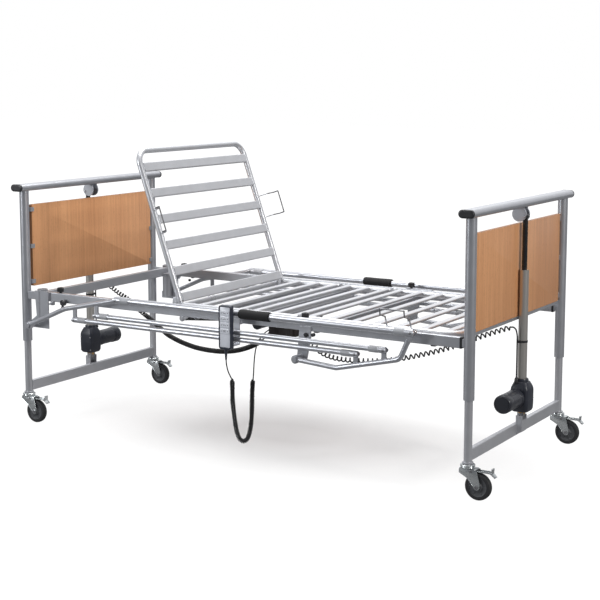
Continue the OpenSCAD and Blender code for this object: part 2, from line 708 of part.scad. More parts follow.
// Arms are drawn from their own pivot, in the XZ plane
module guard_arm(pivot, bends, bend_r, clear, tabs) translate([pivot.x, 0, pivot.y]) difference() {
    union() {
        arm_eye();
        path = concat([toward([0, 0], bends[0], 8)], bends,
            [toward(top_joint, bends[len(bends) - 1], clear)]);
        rotate([90, 0, 0]) bent_bar(path, arm_r, bend_r);
        arm_tab(toward(top_joint, bends[len(bends) - 1], clear + 12), top_joint, 10, 8);
        arm_tab(tabs[0], mid_joint, 9, 7);
        arm_tab(tabs[1], low_joint, 9, 7);
    }
    along_y(-11, 11, 0, 0) circle(hinge_r + fit);
}
module head_arm() guard_arm(head_pivot, [[200, 88]], 140, 19, [[375, 124], [258, 99]]);
module foot_arm() guard_arm(foot_pivot, [[175, -13], [440, 48]], 38, 30, [[375, 34], [258, 7]]);
module top_bar() guard_bar(top_joint, top_bar_r, 15, 66, 9);
module mid_bar() guard_bar(mid_joint, low_bar_r, 12, 60, 8);
module low_bar() guard_bar(low_joint, low_bar_r, 12, 60, 8);
module grip() along_x(106, 246, 0, head_pivot.y + top_joint.y) ring(19, top_bar_r + 0.05);
module near() translate([0, -guard_y, 0]) children();
module far() translate([0, guard_y, 0]) children();

// ---------- hand control ----------

module handset_bracket() color("#b9bbc0") {
    w = [handset_x - 14, handset_x + 14];
    block(w, [-side_y - 13.2, -side_y - 10.2], [459, 560]);
    block(w, [-512, -side_y - 10.2], [459, 462]);
    block(w, [-512, -509], [459, 552]);
    along_y(-519.5, -511, handset_x, stud_z) circle(5);
}
module handset_case() color("#20232c") {
    difference() {
        along_z(handset_z, handset_z + handset_h, handset_x, handset_back_y - handset_t / 2)
            round_rect(handset_w, handset_t, 5);
        // Keyhole channel for the bracket's stud
        block([handset_x - 5.6, handset_x + 5.6], [handset_back_y - 4.5, handset_back_y + 1],
            [handset_z - 1, stud_z + 6]);
        // Recess of the keypad
        translate([0, handset_back_y - handset_t, 0]) block(
            [handset_x - handset_w / 2 + 4.5, handset_x + handset_w / 2 - 4.5],
            [-1, 3], [handset_z + 8, handset_z + handset_h - 6]);
    }
    // Strain relief
    translate([handset_x + 2, -530, 412]) cylinder(h = 30, r1 = 3.6, r2 = 5.6);
    translate([handset_x + 2, -530, 441]) cylinder(h = 12, r = 5.6);
}
module key(row) color("#c9ccd4") {
    z = handset_z + handset_h - 29 - row * key_pitch;
    y = handset_back_y - handset_t;
    block([handset_x - 22, handset_x + 22], [y - 0.3, y + 1.2], [z - 10, z + 10]);
    along_z(z - 10, z + 10, handset_x, y + 1.3) intersection() {
        circle(1.1);
        translate([-2, -2]) square([4, 3.2]);
    }
}

// ---------- nodes ----------

module placed() translate([shift_x, shift_y, 0]) children();

placed() head_legs();
placed() head_lift_housing();
placed() head_lift_column();
placed() foot_legs();
placed() foot_lift_housing();
placed() foot_lift_column();
placed() at_corner(-1, -1) fork();  // head_near_fork
placed() at_corner(-1, -1) wheel();  // head_near_wheel
placed() at_corner(-1, -1) brake();  // head_near_brake
placed() at_corner(-1, 1) fork();  // head_far_fork
placed() at_corner(-1, 1) wheel();  // head_far_wheel
placed() at_corner(-1, 1) brake();  // head_far_brake
placed() at_corner(1, -1) fork();  // foot_near_fork
placed() at_corner(1, -1) wheel();  // foot_near_wheel
placed() at_corner(1, -1) brake();  // foot_near_brake
placed() at_corner(1, 1) fork();  // foot_far_fork
placed() at_corner(1, 1) wheel();  // foot_far_wheel
placed() at_corner(1, 1) brake();  // foot_far_brake
placed() head_end_frame();
placed() head_panel();
placed() foot_end_frame();
placed() foot_panel();
placed() rail_end_caps();
placed() head_lift_rod();
placed() foot_lift_rod();
placed() near_pole_sleeve();
placed() far_pole_sleeve();
placed() head_platform_frame();
placed() foot_platform_frame();
placed() clamp_knobs();
placed() seat_section();
placed() control_box();
placed() backrest_actuator();
placed() backrest_rod();
placed() leg_actuator();
placed() leg_rod();
placed() backrest_section();
placed() thigh_section();
placed() calf_section();
placed() near() color("#b9bbc0") head_arm();  // near_head_arm
placed() near() color("#b9bbc0") foot_arm();  // near_foot_arm
placed() near() color("#c4c6ca") top_bar();  // near_top_bar
placed() near() color("#1d1e22") grip();  // near_grip
placed() near() color("#c4c6ca") mid_bar();  // near_mid_bar
placed() near() color("#c4c6ca") low_bar();  // near_low_bar
placed() far() color("#b9bbc0") head_arm();  // far_head_arm
placed() far() color("#b9bbc0") foot_arm();  // far_foot_arm
placed() far() color("#c4c6ca") top_bar();  // far_top_bar
placed() far() color("#1d1e22") grip();  // far_grip
placed() far() color("#c4c6ca") mid_bar();  // far_mid_bar
placed() far() color("#c4c6ca") low_bar();  // far_low_bar
placed() handset_bracket();
placed() handset_case();
placed() key(0);  // head_key
placed() key(1);  // back_key
placed() key(2);  // leg_key
placed() key(3);  // height_key
placed() color("#17181b") cord(handset_route);  // handset_cord
placed() color("#17181b") cord(head_cable_route);  // head_lift_cable
placed() color("#17181b") cord(foot_cable_route);  // foot_lift_cable
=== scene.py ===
import math
import bmesh
import bpy
from mathutils import Matrix, Vector


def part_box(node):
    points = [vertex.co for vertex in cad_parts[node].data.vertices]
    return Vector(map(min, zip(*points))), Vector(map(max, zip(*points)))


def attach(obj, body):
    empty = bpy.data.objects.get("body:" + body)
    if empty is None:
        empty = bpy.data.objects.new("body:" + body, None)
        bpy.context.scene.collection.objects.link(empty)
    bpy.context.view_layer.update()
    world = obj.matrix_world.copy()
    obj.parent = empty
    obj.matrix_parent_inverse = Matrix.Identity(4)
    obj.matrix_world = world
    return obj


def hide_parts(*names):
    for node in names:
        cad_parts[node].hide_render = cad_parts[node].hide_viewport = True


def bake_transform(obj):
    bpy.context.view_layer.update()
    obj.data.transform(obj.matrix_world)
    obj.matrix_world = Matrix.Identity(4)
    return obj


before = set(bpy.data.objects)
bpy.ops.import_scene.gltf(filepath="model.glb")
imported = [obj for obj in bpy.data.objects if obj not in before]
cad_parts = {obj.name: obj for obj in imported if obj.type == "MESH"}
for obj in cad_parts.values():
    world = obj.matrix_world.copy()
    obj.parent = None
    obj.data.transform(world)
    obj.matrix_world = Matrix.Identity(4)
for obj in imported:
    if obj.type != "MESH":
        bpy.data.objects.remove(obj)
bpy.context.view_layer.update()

# ---------- Studio ----------
# White sweep under a large overhead softbox, a smaller key light off the foot
# end and a weak fill beside the camera.  The lens is a short telephoto at
# standing height, dropped a little to keep the posts upright.
scene = bpy.context.scene
scene.view_settings.view_transform = "Standard"
scene.view_settings.look = "None"


class Number:
    """A number or colour inside a material; arithmetic on it adds the nodes that work it out."""

    def __init__(self, finish, socket):
        self.finish = finish
        self.socket = socket

    def reckon(self, operation, first, second):
        return self.finish.node("ShaderNodeMath", {"operation": operation}, [first, second])

    def __add__(self, other):
        return self.reckon("ADD", self, other)

    def __radd__(self, other):
        return self.reckon("ADD", other, self)

    def __sub__(self, other):
        return self.reckon("SUBTRACT", self, other)

    def __rsub__(self, other):
        return self.reckon("SUBTRACT", other, self)

    def __mul__(self, other):
        return self.reckon("MULTIPLY", self, other)

    def __rmul__(self, other):
        return self.reckon("MULTIPLY", other, self)

    def __gt__(self, other):
        return self.reckon("GREATER_THAN", self, other)


class Finish:
    """A surface's nodes, on a material or on the world."""

    def __init__(self, owner):
        owner.use_nodes = True
        self.owner = owner
        self.tree = owner.node_tree
        self.tree.nodes.clear()

    def node(self, kind, settings, inputs, output=0):
        made = self.tree.nodes.new(kind)
        for name, value in settings.items():
            if name == "stops":
                ramp = made.color_ramp
                while len(ramp.elements) < len(value):
                    ramp.elements.new(0.5)
                for element, (position, colour) in zip(ramp.elements, value):
                    element.position = position
                    element.color = (*colour, 1)
            else:
                setattr(made, name, value)
        for key, value in inputs.items() if isinstance(inputs, dict) else enumerate(inputs):
            if isinstance(value, Number):
                self.tree.links.new(value.socket, made.inputs[key])
            else:
                made.inputs[key].default_value = value
        return Number(self, made.outputs[output]) if made.outputs else None

    def blend(self, share, first, second):
        colours = [c if isinstance(c, Number) else (*c, 1) for c in (first, second)]
        return self.node("ShaderNodeMix", {"data_type": "RGBA"},
                         {0: share, 6: colours[0], 7: colours[1]}, 2)

    def spots(self, size, detail=2, stretch=(1, 1, 1)):
        """Soft noise whose blotches are about size metres across, times stretch."""
        place = self.node("ShaderNodeTexCoord", {}, [], "Object")
        shape = [1 / (size * s) for s in stretch]
        place = self.node("ShaderNodeMapping", {}, {"Vector": place, "Scale": shape})
        return self.node("ShaderNodeTexNoise", {}, {"Vector": place, "Scale": 1.0,
                                                    "Detail": detail})

    def level(self, value, low, high):
        """value spread so that low becomes 0 and high becomes 1, and no further."""
        return self.node("ShaderNodeMapRange", {}, {0: value, 1: low, 2: high})


def softbox(name, place, aim, width, height, watts, colour=(1, 1, 1)):
    data = bpy.data.lights.new(name, "AREA")
    data.shape = "RECTANGLE"
    data.size = width
    data.size_y = height
    data.energy = watts
    data.color = colour
    lamp = bpy.data.objects.new(name, data)
    lamp.location = place
    lamp.rotation_euler = (Vector(aim) - Vector(place)).to_track_quat("-Z", "Y").to_euler()
    scene.collection.objects.link(lamp)


softbox("overhead", (-0.4, 0.6, 4.0), (0, 0, 0), 3.0, 2.4, 150)
softbox("key", (5.4, -0.9, 2.6), (0.6, 0, 0.6), 0.7, 0.9, 120, (1, 0.985, 0.96))
softbox("fill", (-3.2, -4.6, 2.2), (0, 0, 0.6), 0.9, 2.6, 120, (0.96, 0.98, 1))

surround = Finish(bpy.data.worlds.new("surround"))
scene.world = surround.owner
way = surround.node("ShaderNodeTexCoord", {}, [], "Generated")
height = surround.node("ShaderNodeSeparateXYZ", {}, [way], "Z")
walls = surround.node("ShaderNodeValToRGB", {"stops": [
    (0.0, (0.4, 0.4, 0.4)), (0.48, (0.135, 0.14, 0.16)), (0.62, (0.10, 0.105, 0.12)),
    (1.0, (0.80, 0.80, 0.81)),
]}, [height * 0.5 + 0.5])
# The white backdrop stands behind the bed; the room behind the camera is dark
backdrop_side = (-0.525, 0.851, 0)
backdrop = surround.node("ShaderNodeVectorMath", {"operation": "DOT_PRODUCT"}, [way, backdrop_side],
                         "Value")
walls = surround.blend(surround.level(backdrop, 0.2, 0.75), walls, (0.92, 0.93, 0.95))
seen = surround.node("ShaderNodeLightPath", {}, [], "Is Camera Ray")
glow = surround.node("ShaderNodeBackground", {}, [surround.blend(seen, walls, (1, 1, 1)), 1.0])
surround.node("ShaderNodeOutputWorld", {}, [glow])

camera_data = bpy.data.cameras.new("camera")
camera_data.lens = 81.35
camera_data.sensor_width = 36
camera_data.shift_y = -0.08
camera = bpy.data.objects.new("camera", camera_data)
camera.location = (2.9851, -4.7389, 1.4993)
camera.rotation_euler = (math.radians(90 - 7.4032), 0, math.radians(31.6818))
scene.collection.objects.link(camera)
scene.camera = camera

sweep = Finish(bpy.data.materials.new("white_sweep"))
reach = sweep.node("ShaderNodeTexCoord", {}, [], "Object")
shade_length, shade_width = 1.2, 0.62
reach = sweep.node("ShaderNodeMapping", {}, {"Vector": reach,
                                             "Scale": (1 / shade_length, 1 / shade_width, 1)})
reach = sweep.node("ShaderNodeVectorMath", {"operation": "LENGTH"}, [reach], "Value")
# Painted shade: inside an ellipse under the bed the floor is a darker grey diffuse that stands in
# for the bed's soft shade
painted_shade_paper = sweep.node("ShaderNodeBsdfDiffuse", {}, [(0.60, 0.585, 0.58, 1)])
looked_at = sweep.node("ShaderNodeLightPath", {}, [], "Is Camera Ray")
dim = sweep.node("ShaderNodeEmission", {}, [(0.95, 0.97, 1, 1), 0.22])
white = sweep.node("ShaderNodeEmission", {}, [(1, 1, 1, 1), 1.12])
bright = sweep.node("ShaderNodeMixShader", {}, [looked_at, dim, white])
# 0 in the painted shade under the bed, rising to 1 on the evenly bright white sweep beyond
share = sweep.level(reach, 0.2, 1.0) * 0.86 + sweep.level(reach, 1.25, 2.0) * 0.14
surface = sweep.node("ShaderNodeMixShader", {}, [share, painted_shade_paper, bright])
sweep.node("ShaderNodeOutputMaterial", {}, [surface])
floor_mesh = bpy.data.meshes.new("floor")
floor_mesh.from_pydata([(-30, -30, 0), (30, -30, 0), (30, 30, 0), (-30, 30, 0)], [], [(0, 1, 2, 3)])
floor_mesh.materials.append(sweep.owner)
floor = bpy.data.objects.new("floor", floor_mesh)
floor.location.z = -0.0005
scene.collection.objects.link(floor)

# ---------- Painted steel frame ----------
# End frames, inner legs, platform and guards: round and box tube, welded, then
# powder coated silver-grey.  The coat is satin with a faint metallic flake, and its
# colour is painted paler along the cut edges: a painted highlight, with some wear.
# The bed's middle on the floor, half way between the outer faces of its two boards
low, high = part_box("head_panel")
high_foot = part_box("foot_panel")[1]
middle = Vector(((low.x + high_foot.x) / 2, (low.y + high.y) / 2, 0))


def satin(name, base, roughness, metallic=0.0, edge=0.0006, tone=0.1, relief=0.0001, size=0.0012,
          coat=0.0, vary=1.0, outer=None):
    """Finish with clouded colour, uneven gloss, a fine relief and rounded edges painted paler, a
    painted highlight with some wear.

    outer is (distance, colour) for what stands further than that from the bed's middle plane.
    """
    made = Finish(bpy.data.materials.new(name))
    clouds = made.spots(0.05, 3)
    grain = made.spots(size, 2)
    rounded = made.node("ShaderNodeBevel", {"samples": 4}, {"Radius": edge})
    true = made.node("ShaderNodeNewGeometry", {}, [], "True Normal")
    turned = made.node("ShaderNodeVectorMath", {"operation": "DOT_PRODUCT"}, [rounded, true],
                       "Value")
    # Painted highlight with some wear: where the rounded normal turns from the true one, the colour
    # goes paler
    edge_highlight_and_wear = made.level(1 - turned, 0.02, 0.25)
    dark = [c * (1 - tone) for c in base]
    light = [min(1, c * (1 + tone)) for c in base]
    highlight_and_wear_pale = [min(1, c * 1.12 + 0.02) for c in base]
    colour = made.blend(made.level(clouds * 0.6 + grain * 0.4, 0.35, 0.65), dark, light)
    # Past the outer distance the colour is replaced outright: a darker material, deepened further
    # as painted shade
    if outer:
        across = made.node("ShaderNodeNewGeometry", {}, [], "Position")
        across = made.node("ShaderNodeSeparateXYZ", {}, [across], "Y") - middle.y
        across = made.node("ShaderNodeMath", {"operation": "ABSOLUTE"}, [across])
        colour = made.blend(across > outer[0], colour, outer[1])
    bump = made.node("ShaderNodeBump", {}, {"Strength": 0.35, "Distance": relief, "Height": grain,
                                            "Normal": rounded})
    shader = made.node("ShaderNodeBsdfPrincipled", {}, {
        "Base Color": made.blend(edge_highlight_and_wear * 0.6, colour, highlight_and_wear_pale),
        "Roughness": (roughness + (clouds - 0.5) * 0.16 * vary + (grain - 0.5) * 0.1 * vary
                      - edge_highlight_and_wear * 0.06),
        "Metallic": metallic, "Coat Weight": coat, "Coat Roughness": 0.12, "Normal": bump,
    })
    made.node("ShaderNodeOutputMaterial", {}, [shader])
    return made.owner


frame_paint = satin("frame_silver_coat", (0.50, 0.51, 0.54), 0.34, 0.75, edge=0.0012, tone=0.04,
                    relief=0.00003, vary=0.5)
leg_paint = satin("leg_silver_coat", (0.54, 0.545, 0.57), 0.40, 0.66, edge=0.0012, tone=0.04,
                  relief=0.00003, vary=0.5)
# On the slat sections the side wire loops, past 0.3985 from the middle plane, are dark grey: their
# darker steel, plus painted shade
slat_paint = satin("slat_silver_coat", (0.62, 0.63, 0.655), 0.34, 0.55, edge=0.0012, tone=0.04,
                   relief=0.00003, vary=0.5, outer=(0.3985, (0.20, 0.20, 0.21)))
dull_steel = satin("bolt_steel", (0.30, 0.30, 0.31), 0.38, 0.9, edge=0.0004)


def coat(finish, *names):
    for name in names:
        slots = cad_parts[name].material_slots
        for one in slots:
            one.material = finish


coat(leg_paint, "head_legs", "foot_legs")
coat(frame_paint, "head_end_frame", "foot_end_frame", "head_platform_frame", "foot_platform_frame",
     "near_pole_sleeve", "far_pole_sleeve", "handset_bracket")
coat(slat_paint, "seat_section", "backrest_section", "thigh_section", "calf_section")
guard_parts = ["head_arm", "foot_arm", "top_bar", "mid_bar", "low_bar"]
coat(frame_paint, *[f"{side}_{part}" for side in ("near", "far") for part in guard_parts])

# ---------- Beech panels ----------
# Head and foot boards: 16 mm chipboard faced with beech-pattern laminate, the
# grain standing upright, and edged in the same laminate a shade darker.
beech = Finish(bpy.data.materials.new("beech_laminate"))
board_tone = beech.spots(0.22, 3, (1, 1, 6))
stripe = beech.spots(0.011, 3, (1, 1, 60))
fibre = beech.spots(0.0016, 2, (1, 1, 40))
fleck = beech.spots(0.0022, 1, (1, 1, 7))
figure = board_tone * 0.35 + stripe * 0.4 + fibre * 0.25
wood = beech.node("ShaderNodeValToRGB", {"stops": [
    (0.34, (0.53, 0.240, 0.102)), (0.48, (0.63, 0.305, 0.138)), (0.62, (0.73, 0.370, 0.174)),
]}, [figure])
wood = beech.blend(beech.level(fleck, 0.64, 0.72) * 0.5, wood, (0.34, 0.15, 0.062))
facing = beech.node("ShaderNodeNewGeometry", {}, [], "Normal")
facing = beech.node("ShaderNodeSeparateXYZ", {}, [facing], "X")
facing = beech.node("ShaderNodeMath", {"operation": "ABSOLUTE"}, [facing])
wood = beech.blend(beech.level(facing, 0.95, 0.6) * 0.75, wood, (0.30, 0.125, 0.050))
relief = beech.node("ShaderNodeBump", {}, {"Strength": 0.25, "Distance": 0.0001, "Height": fibre})
board = beech.node("ShaderNodeBsdfPrincipled", {}, {
    "Base Color": wood, "Roughness": 0.36 + (stripe - 0.5) * 0.14 + (fibre - 0.5) * 0.1,
    "Normal": relief, "Coat Weight": 0.06, "Coat Roughness": 0.3,
})
beech.node("ShaderNodeOutputMaterial", {}, [board])


class Work:
    """Mesh of one piece, put together from turned, bent and moulded shapes.

    Places are in metres from the point of the floor under the middle of the bed.
    """

    def __init__(self, *finishes):
        self.mesh = bmesh.new()
        self.finishes = finishes
        self.move = Matrix.Identity(4)

    def paint(self, faces, finish):
        for face in faces:
            face.material_index = self.finishes.index(finish) if finish else 0

    def skin(self, rings, finish=None, closed=False, capped=True):
        """Surface through rings of points; a ring of one point closes to a tip."""
        rows = [[self.mesh.verts.new(self.move @ Vector(p)) for p in ring] for ring in rings]
        faces = []
        pairs = list(zip(rows, rows[1:] + rows[:1] if closed else rows[1:]))
        for here, there in pairs:
            n = max(len(here), len(there))
            for i in range(n):
                corners = []
                for row, k in ((here, i), (here, i + 1), (there, i + 1), (there, i)):
                    vert = row[k % len(row)]
                    if vert not in corners:
                        corners.append(vert)
                if len(corners) > 2:
                    faces.append(self.mesh.faces.new(corners))
        if capped and not closed:
            for row in (rows[0], rows[-1]):
                if len(row) > 2:
                    faces.append(self.mesh.faces.new(row))
        self.paint(faces, finish)
        return faces

    def turned(self, outline, centre, axis, finish=None, sides=40, ring=False):
        """Solid of revolution; outline is (radius, distance along the axis)."""
        direction = Vector(axis).normalized()
        across = direction.orthogonal().normalized()
        other = direction.cross(across)
        rings = []
        for radius, along in outline:
            hub = Vector(centre) + direction * along
            count = sides if radius > 1e-6 else 1
            rings.append([hub + radius * (math.cos(a) * across + math.sin(a) * other)
                          for a in (2 * math.pi * k / sides for k in range(count))])
        self.skin(rings, finish, closed=ring, capped=False)

    def tube(self, path, radius, finish=None, sides=14):
        """Round bar along a path of points, with flat ends."""
        path = [Vector(p) for p in path]
        rings = []
        across = None
        for i, point in enumerate(path):
            direction = (path[min(i + 1, len(path) - 1)] - path[max(i - 1, 0)]).normalized()
            if across is None:
                across = direction.orthogonal().normalized()
            across = (across - direction * across.dot(direction)).normalized()
            other = direction.cross(across)
            size = radius[i] if isinstance(radius, list) else radius
            rings.append([point + size * (math.cos(a) * across + math.sin(a) * other)
                          for a in (2 * math.pi * k / sides for k in range(sides))])
        self.skin(rings, finish)

    def rounded(self, faces, width, steps):
        least_turn = 0.5
        edges = dict.fromkeys(e for f in faces for e in f.edges
                              if e.calc_face_angle(0) > least_turn)
        bmesh.ops.bevel(self.mesh, geom=list(edges), offset=width, segments=steps, profile=0.5,
                        affect="EDGES", clamp_overlap=True)

    def plate(self, outline, axis, start, end, finish=None, edge=0.0008, steps=2):
        """Flat outline cut through from start to end along an axis, with its edges broken."""
        slot = "xyz".index(axis)
        rings = [[(*pair[:slot], depth, *pair[slot:]) for pair in outline]
                 for depth in (start, end)]
        faces = self.skin(rings, finish)
        bmesh.ops.recalc_face_normals(self.mesh, faces=faces)
        self.rounded(faces, edge, steps)

    def block(self, low, high, finish=None, edge=0.001, steps=2):
        outline = [(low[0], low[1]), (high[0], low[1]), (high[0], high[1]), (low[0], high[1])]
        self.plate(outline, "z", low[2], high[2], finish, edge, steps)

    def piece(self, name, body, replaces=()):
        sharp = math.radians(34)
        bmesh.ops.recalc_face_normals(self.mesh, faces=self.mesh.faces)
        for face in self.mesh.faces:
            face.smooth = True
        for edge in self.mesh.edges:
            edge.smooth = edge.calc_face_angle(0) < sharp
        data = bpy.data.meshes.new(name)
        bmesh.ops.translate(self.mesh, vec=middle, verts=self.mesh.verts)
        self.mesh.to_mesh(data)
        self.mesh.free()
        for finish in self.finishes:
            data.materials.append(finish)
        made = bpy.data.objects.new(name, data)
        scene.collection.objects.link(made)
        if body:
            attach(made, body)
        if replaces:
            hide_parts(*replaces)
        return made


for end in ("head", "foot"):
    low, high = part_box(end + "_panel")
    work = Work(beech.owner)
    low, high = low - middle, high - middle
    corner = 0.006
    outline = []
    for y, z, start in ((high.y, high.z, 0), (low.y, high.z, 90), (low.y, low.z, 180),
                        (high.y, low.z, 270)):
        inward = (-1 if y == high.y else 1, -1 if z == high.z else 1)
        for k in range(5):
            a = math.radians(start + 22.5 * k)
            outline.append((y + inward[0] * corner + corner * math.cos(a),
                            z + inward[1] * corner + corner * math.sin(a)))
    work.plate(outline, "x", low.x, high.x, edge=0.0012)
    work.piece(end + "_board", "bed_frame", [end + "_panel"])

# ---------- Rail end plugs ----------
# Black polyamide plugs pressed into the flat-oval top rails and the open ends
# of the side rails; each shows a rim and a slightly domed face.
black_plastic = satin("black_moulding", (0.022, 0.022, 0.025), 0.38, edge=0.0008, relief=0.00008)
post_x, rail_y = 1.0475, 0.44
work = Work(black_plastic)


def oval(y, grow):
    points = []
    for s in (1, -1):
        for k in range(13):
            a = math.radians(15 * k - 90 * s)
            points.append((0.015 * s + (0.0155 + grow) * math.cos(a), y,
                           1.025 + (0.0155 + grow) * math.sin(a)))
    return points


for end in (-1, 1):
    for side in (-1, 1):
        steps = [(0.4801, -0.001), (0.4801, 0.0), (0.4860, 0.0), (0.4880, -0.0006),
                 (0.4895, -0.0022), (0.4900, -0.0050), (0.4898, -0.0105)]
        work.skin([[(x + end * post_x, y * side, z) for x, y, z in oval(y, grow)]
                   for y, grow in steps])
for side in (-1, 1):
    y = side * rail_y
    rim = []
    for x, wide, tall in ((1.0131, 0.0105, 0.0205), (1.0200, 0.0105, 0.0205),
                          (1.0210, 0.0095, 0.0195), (1.0210, 0.0087, 0.0142),
                          (1.0131, 0.0087, 0.0142)):
        rim.append([(x, y + a * wide, 0.563 + b * tall)
                    for a, b in ((1, 1), (-1, 1), (-1, -1), (1, -1))])
    work.skin(rim, closed=True)
work.piece("rail_end_plugs", "bed_frame", ["rail_end_caps"])

# ---------- Lift units ----------
# One in the middle of each end: a blue-black moulded gearbox with a motor can
# lying across the bed, a champagne anodised outer tube and a black rod that
# reaches up to a pin between two round cheeks under the top rail.
sheath = satin("cable_sheath", (0.009, 0.009, 0.010), 0.5, relief=0.00005)
moulding = satin("motor_moulding", (0.020, 0.023, 0.034), 0.40, relief=0.00012, edge=0.001)
can_paint = satin("motor_can", (0.024, 0.026, 0.034), 0.30, relief=0.00006, edge=0.001)
brass = satin("brass_bush", (0.60, 0.36, 0.12), 0.30, 1.0, tone=0.15)
rod_black = satin("black_rod_coat", (0.012, 0.012, 0.013), 0.26, relief=0.00003)
anodised = satin("champagne_anodised", (0.60, 0.575, 0.535), 0.30, 0.85, relief=0.00001, tone=0.02,
                 vary=0.3)
coat(anodised, "head_lift_column", "foot_lift_column")
coat(rod_black, "head_lift_rod", "foot_lift_rod")


def pillow(centre, size, corner, z):
    """Round-cornered rectangle of points at height z."""
    turns = 6
    points = []
    for sx, sy, start in ((1, 1, 0), (-1, 1, 90), (-1, -1, 180), (1, -1, 270)):
        for k in range(turns):
            a = math.radians(start + 90 * k / (turns - 1))
            points.append((centre[0] + sx * (size[0] / 2 - corner) + corner * math.cos(a),
                           centre[1] + sy * (size[1] / 2 - corner) + corner * math.sin(a), z))
    return points


for end, turn in (("head", math.pi), ("foot", 0)):
    work = Work(moulding, can_paint, brass, dull_steel, sheath, black_plastic)
    work.move = Matrix.Rotation(turn, 4, "Z")
    hub = (1.0685, 0)
    tube_x, lead_x = 1.0675, 1.0555
    motor_x, motor_z = 1.0615, 0.287
    profile = [(0.2290, 0.050, 0.052), (0.2300, 0.058, 0.060), (0.2330, 0.064, 0.066),
               (0.2400, 0.070, 0.072), (0.2600, 0.072, 0.074), (0.3120, 0.072, 0.074),
               (0.3220, 0.070, 0.072), (0.3330, 0.062, 0.063), (0.3400, 0.057, 0.058),
               (0.3440, 0.054, 0.055), (0.3455, 0.050, 0.051)]
    work.skin([pillow(hub, (wx, wy), 0.013 if wx > 0.06 else 0.016, z) for z, wx, wy in profile],
              moulding)
    # Parting line, shoulder ribs and cover screws
    work.skin([pillow(hub, (wx, wy), 0.0135, z) for z, wx, wy in (
        (0.2790, 0.0722, 0.0742), (0.2794, 0.0732, 0.0752), (0.2812, 0.0732, 0.0752),
        (0.2816, 0.0722, 0.0742))], moulding, capped=False)
    for x in (1.0415, 1.0955):
        for z in (0.244, 0.303):
            work.turned([(0, 0.0012), (0.0022, 0.0012), (0.0034, 0), (0.0034, -0.002)],
                        (x, 0.0366, z), (0, 1, 0), dull_steel, 16)
    work.turned([(0.0190, -0.001), (0.0248, -0.001), (0.0248, 0.009), (0.0236, 0.0114),
                 (0.0190, 0.0118)],
                (tube_x, 0, 0.3450), (0, 0, 1), moulding, ring=True)
    # Neck and motor can, its end disc and its cooling grooves
    work.turned([(0, 0.0240), (0.0290, 0.0240), (0.0310, 0.0360), (0.0340, 0.0400),
                 (0.0340, 0.0440), (0, 0.0440)],
                (motor_x, 0, motor_z), (0, -1, 0), moulding, 48)
    can = [(0, 0.042), (0.030, 0.042), (0.0345, 0.044), (0.0352, 0.048), (0.0352, 0.060),
           (0.0338, 0.061), (0.0338, 0.1290), (0.0343, 0.1296), (0.0343, 0.1320), (0.0331, 0.1326),
           (0.0331, 0.1350), (0.0352, 0.1360), (0.0355, 0.1380), (0.0355, 0.1680), (0.0348, 0.1712),
           (0.0325, 0.1742), (0.0300, 0.1757), (0.0290, 0.1762), (0.0284, 0.1752), (0.0274, 0.1752),
           (0.0266, 0.1762), (0, 0.1768)]
    work.turned(can, (motor_x, 0, motor_z), (0, -1, 0), can_paint, 56)
    can_radius = 0.0338
    for k in range(10):
        a = math.radians(36 * k + 18)
        x, z = motor_x + can_radius * math.cos(a), motor_z + can_radius * math.sin(a)
        work.tube([(x, -0.064, z), (x, -0.126, z)], 0.0009, can_paint, 8)
    # Cable gland, its nut, and the lead clipped to the tube
    work.turned([(0, -0.003), (0.0085, -0.003), (0.0085, 0.004), (0.0072, 0.0055), (0.0072, 0.011),
                 (0.0062, 0.0125), (0.0056, 0.0175), (0.0034, 0.0182), (0, 0.0182)],
                (lead_x, -0.028, 0.3440), (0, 0, 1), black_plastic, 18)
    work.tube([(lead_x, -0.0275, 0.3605), (lead_x, -0.0262, 0.375), (lead_x, -0.0260, 0.400),
               (lead_x, -0.0260, 0.440), (lead_x, -0.0260, 0.480), (lead_x, -0.0260, 0.5205)],
              0.003, sheath, 12)
    work.skin([pillow((1.0620, -0.0205), (0.019, 0.013), 0.004, z)
               for z in (0.4960, 0.4966, 0.5034, 0.5040)], black_plastic)
    work.turned([(0.0178, -0.004), (0.0190, -0.004), (0.0190, 0.004), (0.0178, 0.004)],
                (tube_x, 0, 0.5), (0, 0, 1), black_plastic, ring=True)
    # Lower lug with its brass bush and a smaller brass ring below it
    lug = [(tube_x + 0.0118 * math.cos(a), 0.210 + 0.0118 * math.sin(a))
           for a in (math.radians(180 + 15 * k) for k in range(13))]
    work.plate(lug + [(1.0793, 0.2300), (1.0557, 0.2300)], "y", -0.0140, 0.0140, dull_steel, 0.001)
    work.turned([(0.0068, -0.0002), (0.0150, -0.0002), (0.0168, 0.0008), (0.0168, 0.0052),
                 (0.0150, 0.0062), (0.0068, 0.0062)],
                (tube_x, 0, 0.2232), (0, 0, 1), brass, ring=True)
    work.turned([(0.0068, 0), (0.0122, 0), (0.0130, 0.0008), (0.0130, 0.0060), (0.0068, 0.0060)],
                (tube_x, 0, 0.2165), (0, 0, 1), brass, ring=True)
    work.piece(end + "_lift_unit", end + "_base", [end + "_lift_housing"])

# ---------- Castors ----------
# 100 mm swivel castors: bright zinc-plated pressed fork with a double ball
# race, grey-black rubber tyre on a grey hub, and a two-armed brake pedal.
zinc = satin("zinc_plate", (0.62, 0.645, 0.65), 0.27, 1.0, tone=0.14, relief=0.00005, edge=0.0007,
             size=0.004)
tyre_rubber = satin("tyre_rubber", (0.022, 0.022, 0.024), 0.62, relief=0.00012)
hub_plastic = satin("hub_moulding", (0.085, 0.088, 0.094), 0.48, relief=0.0001)


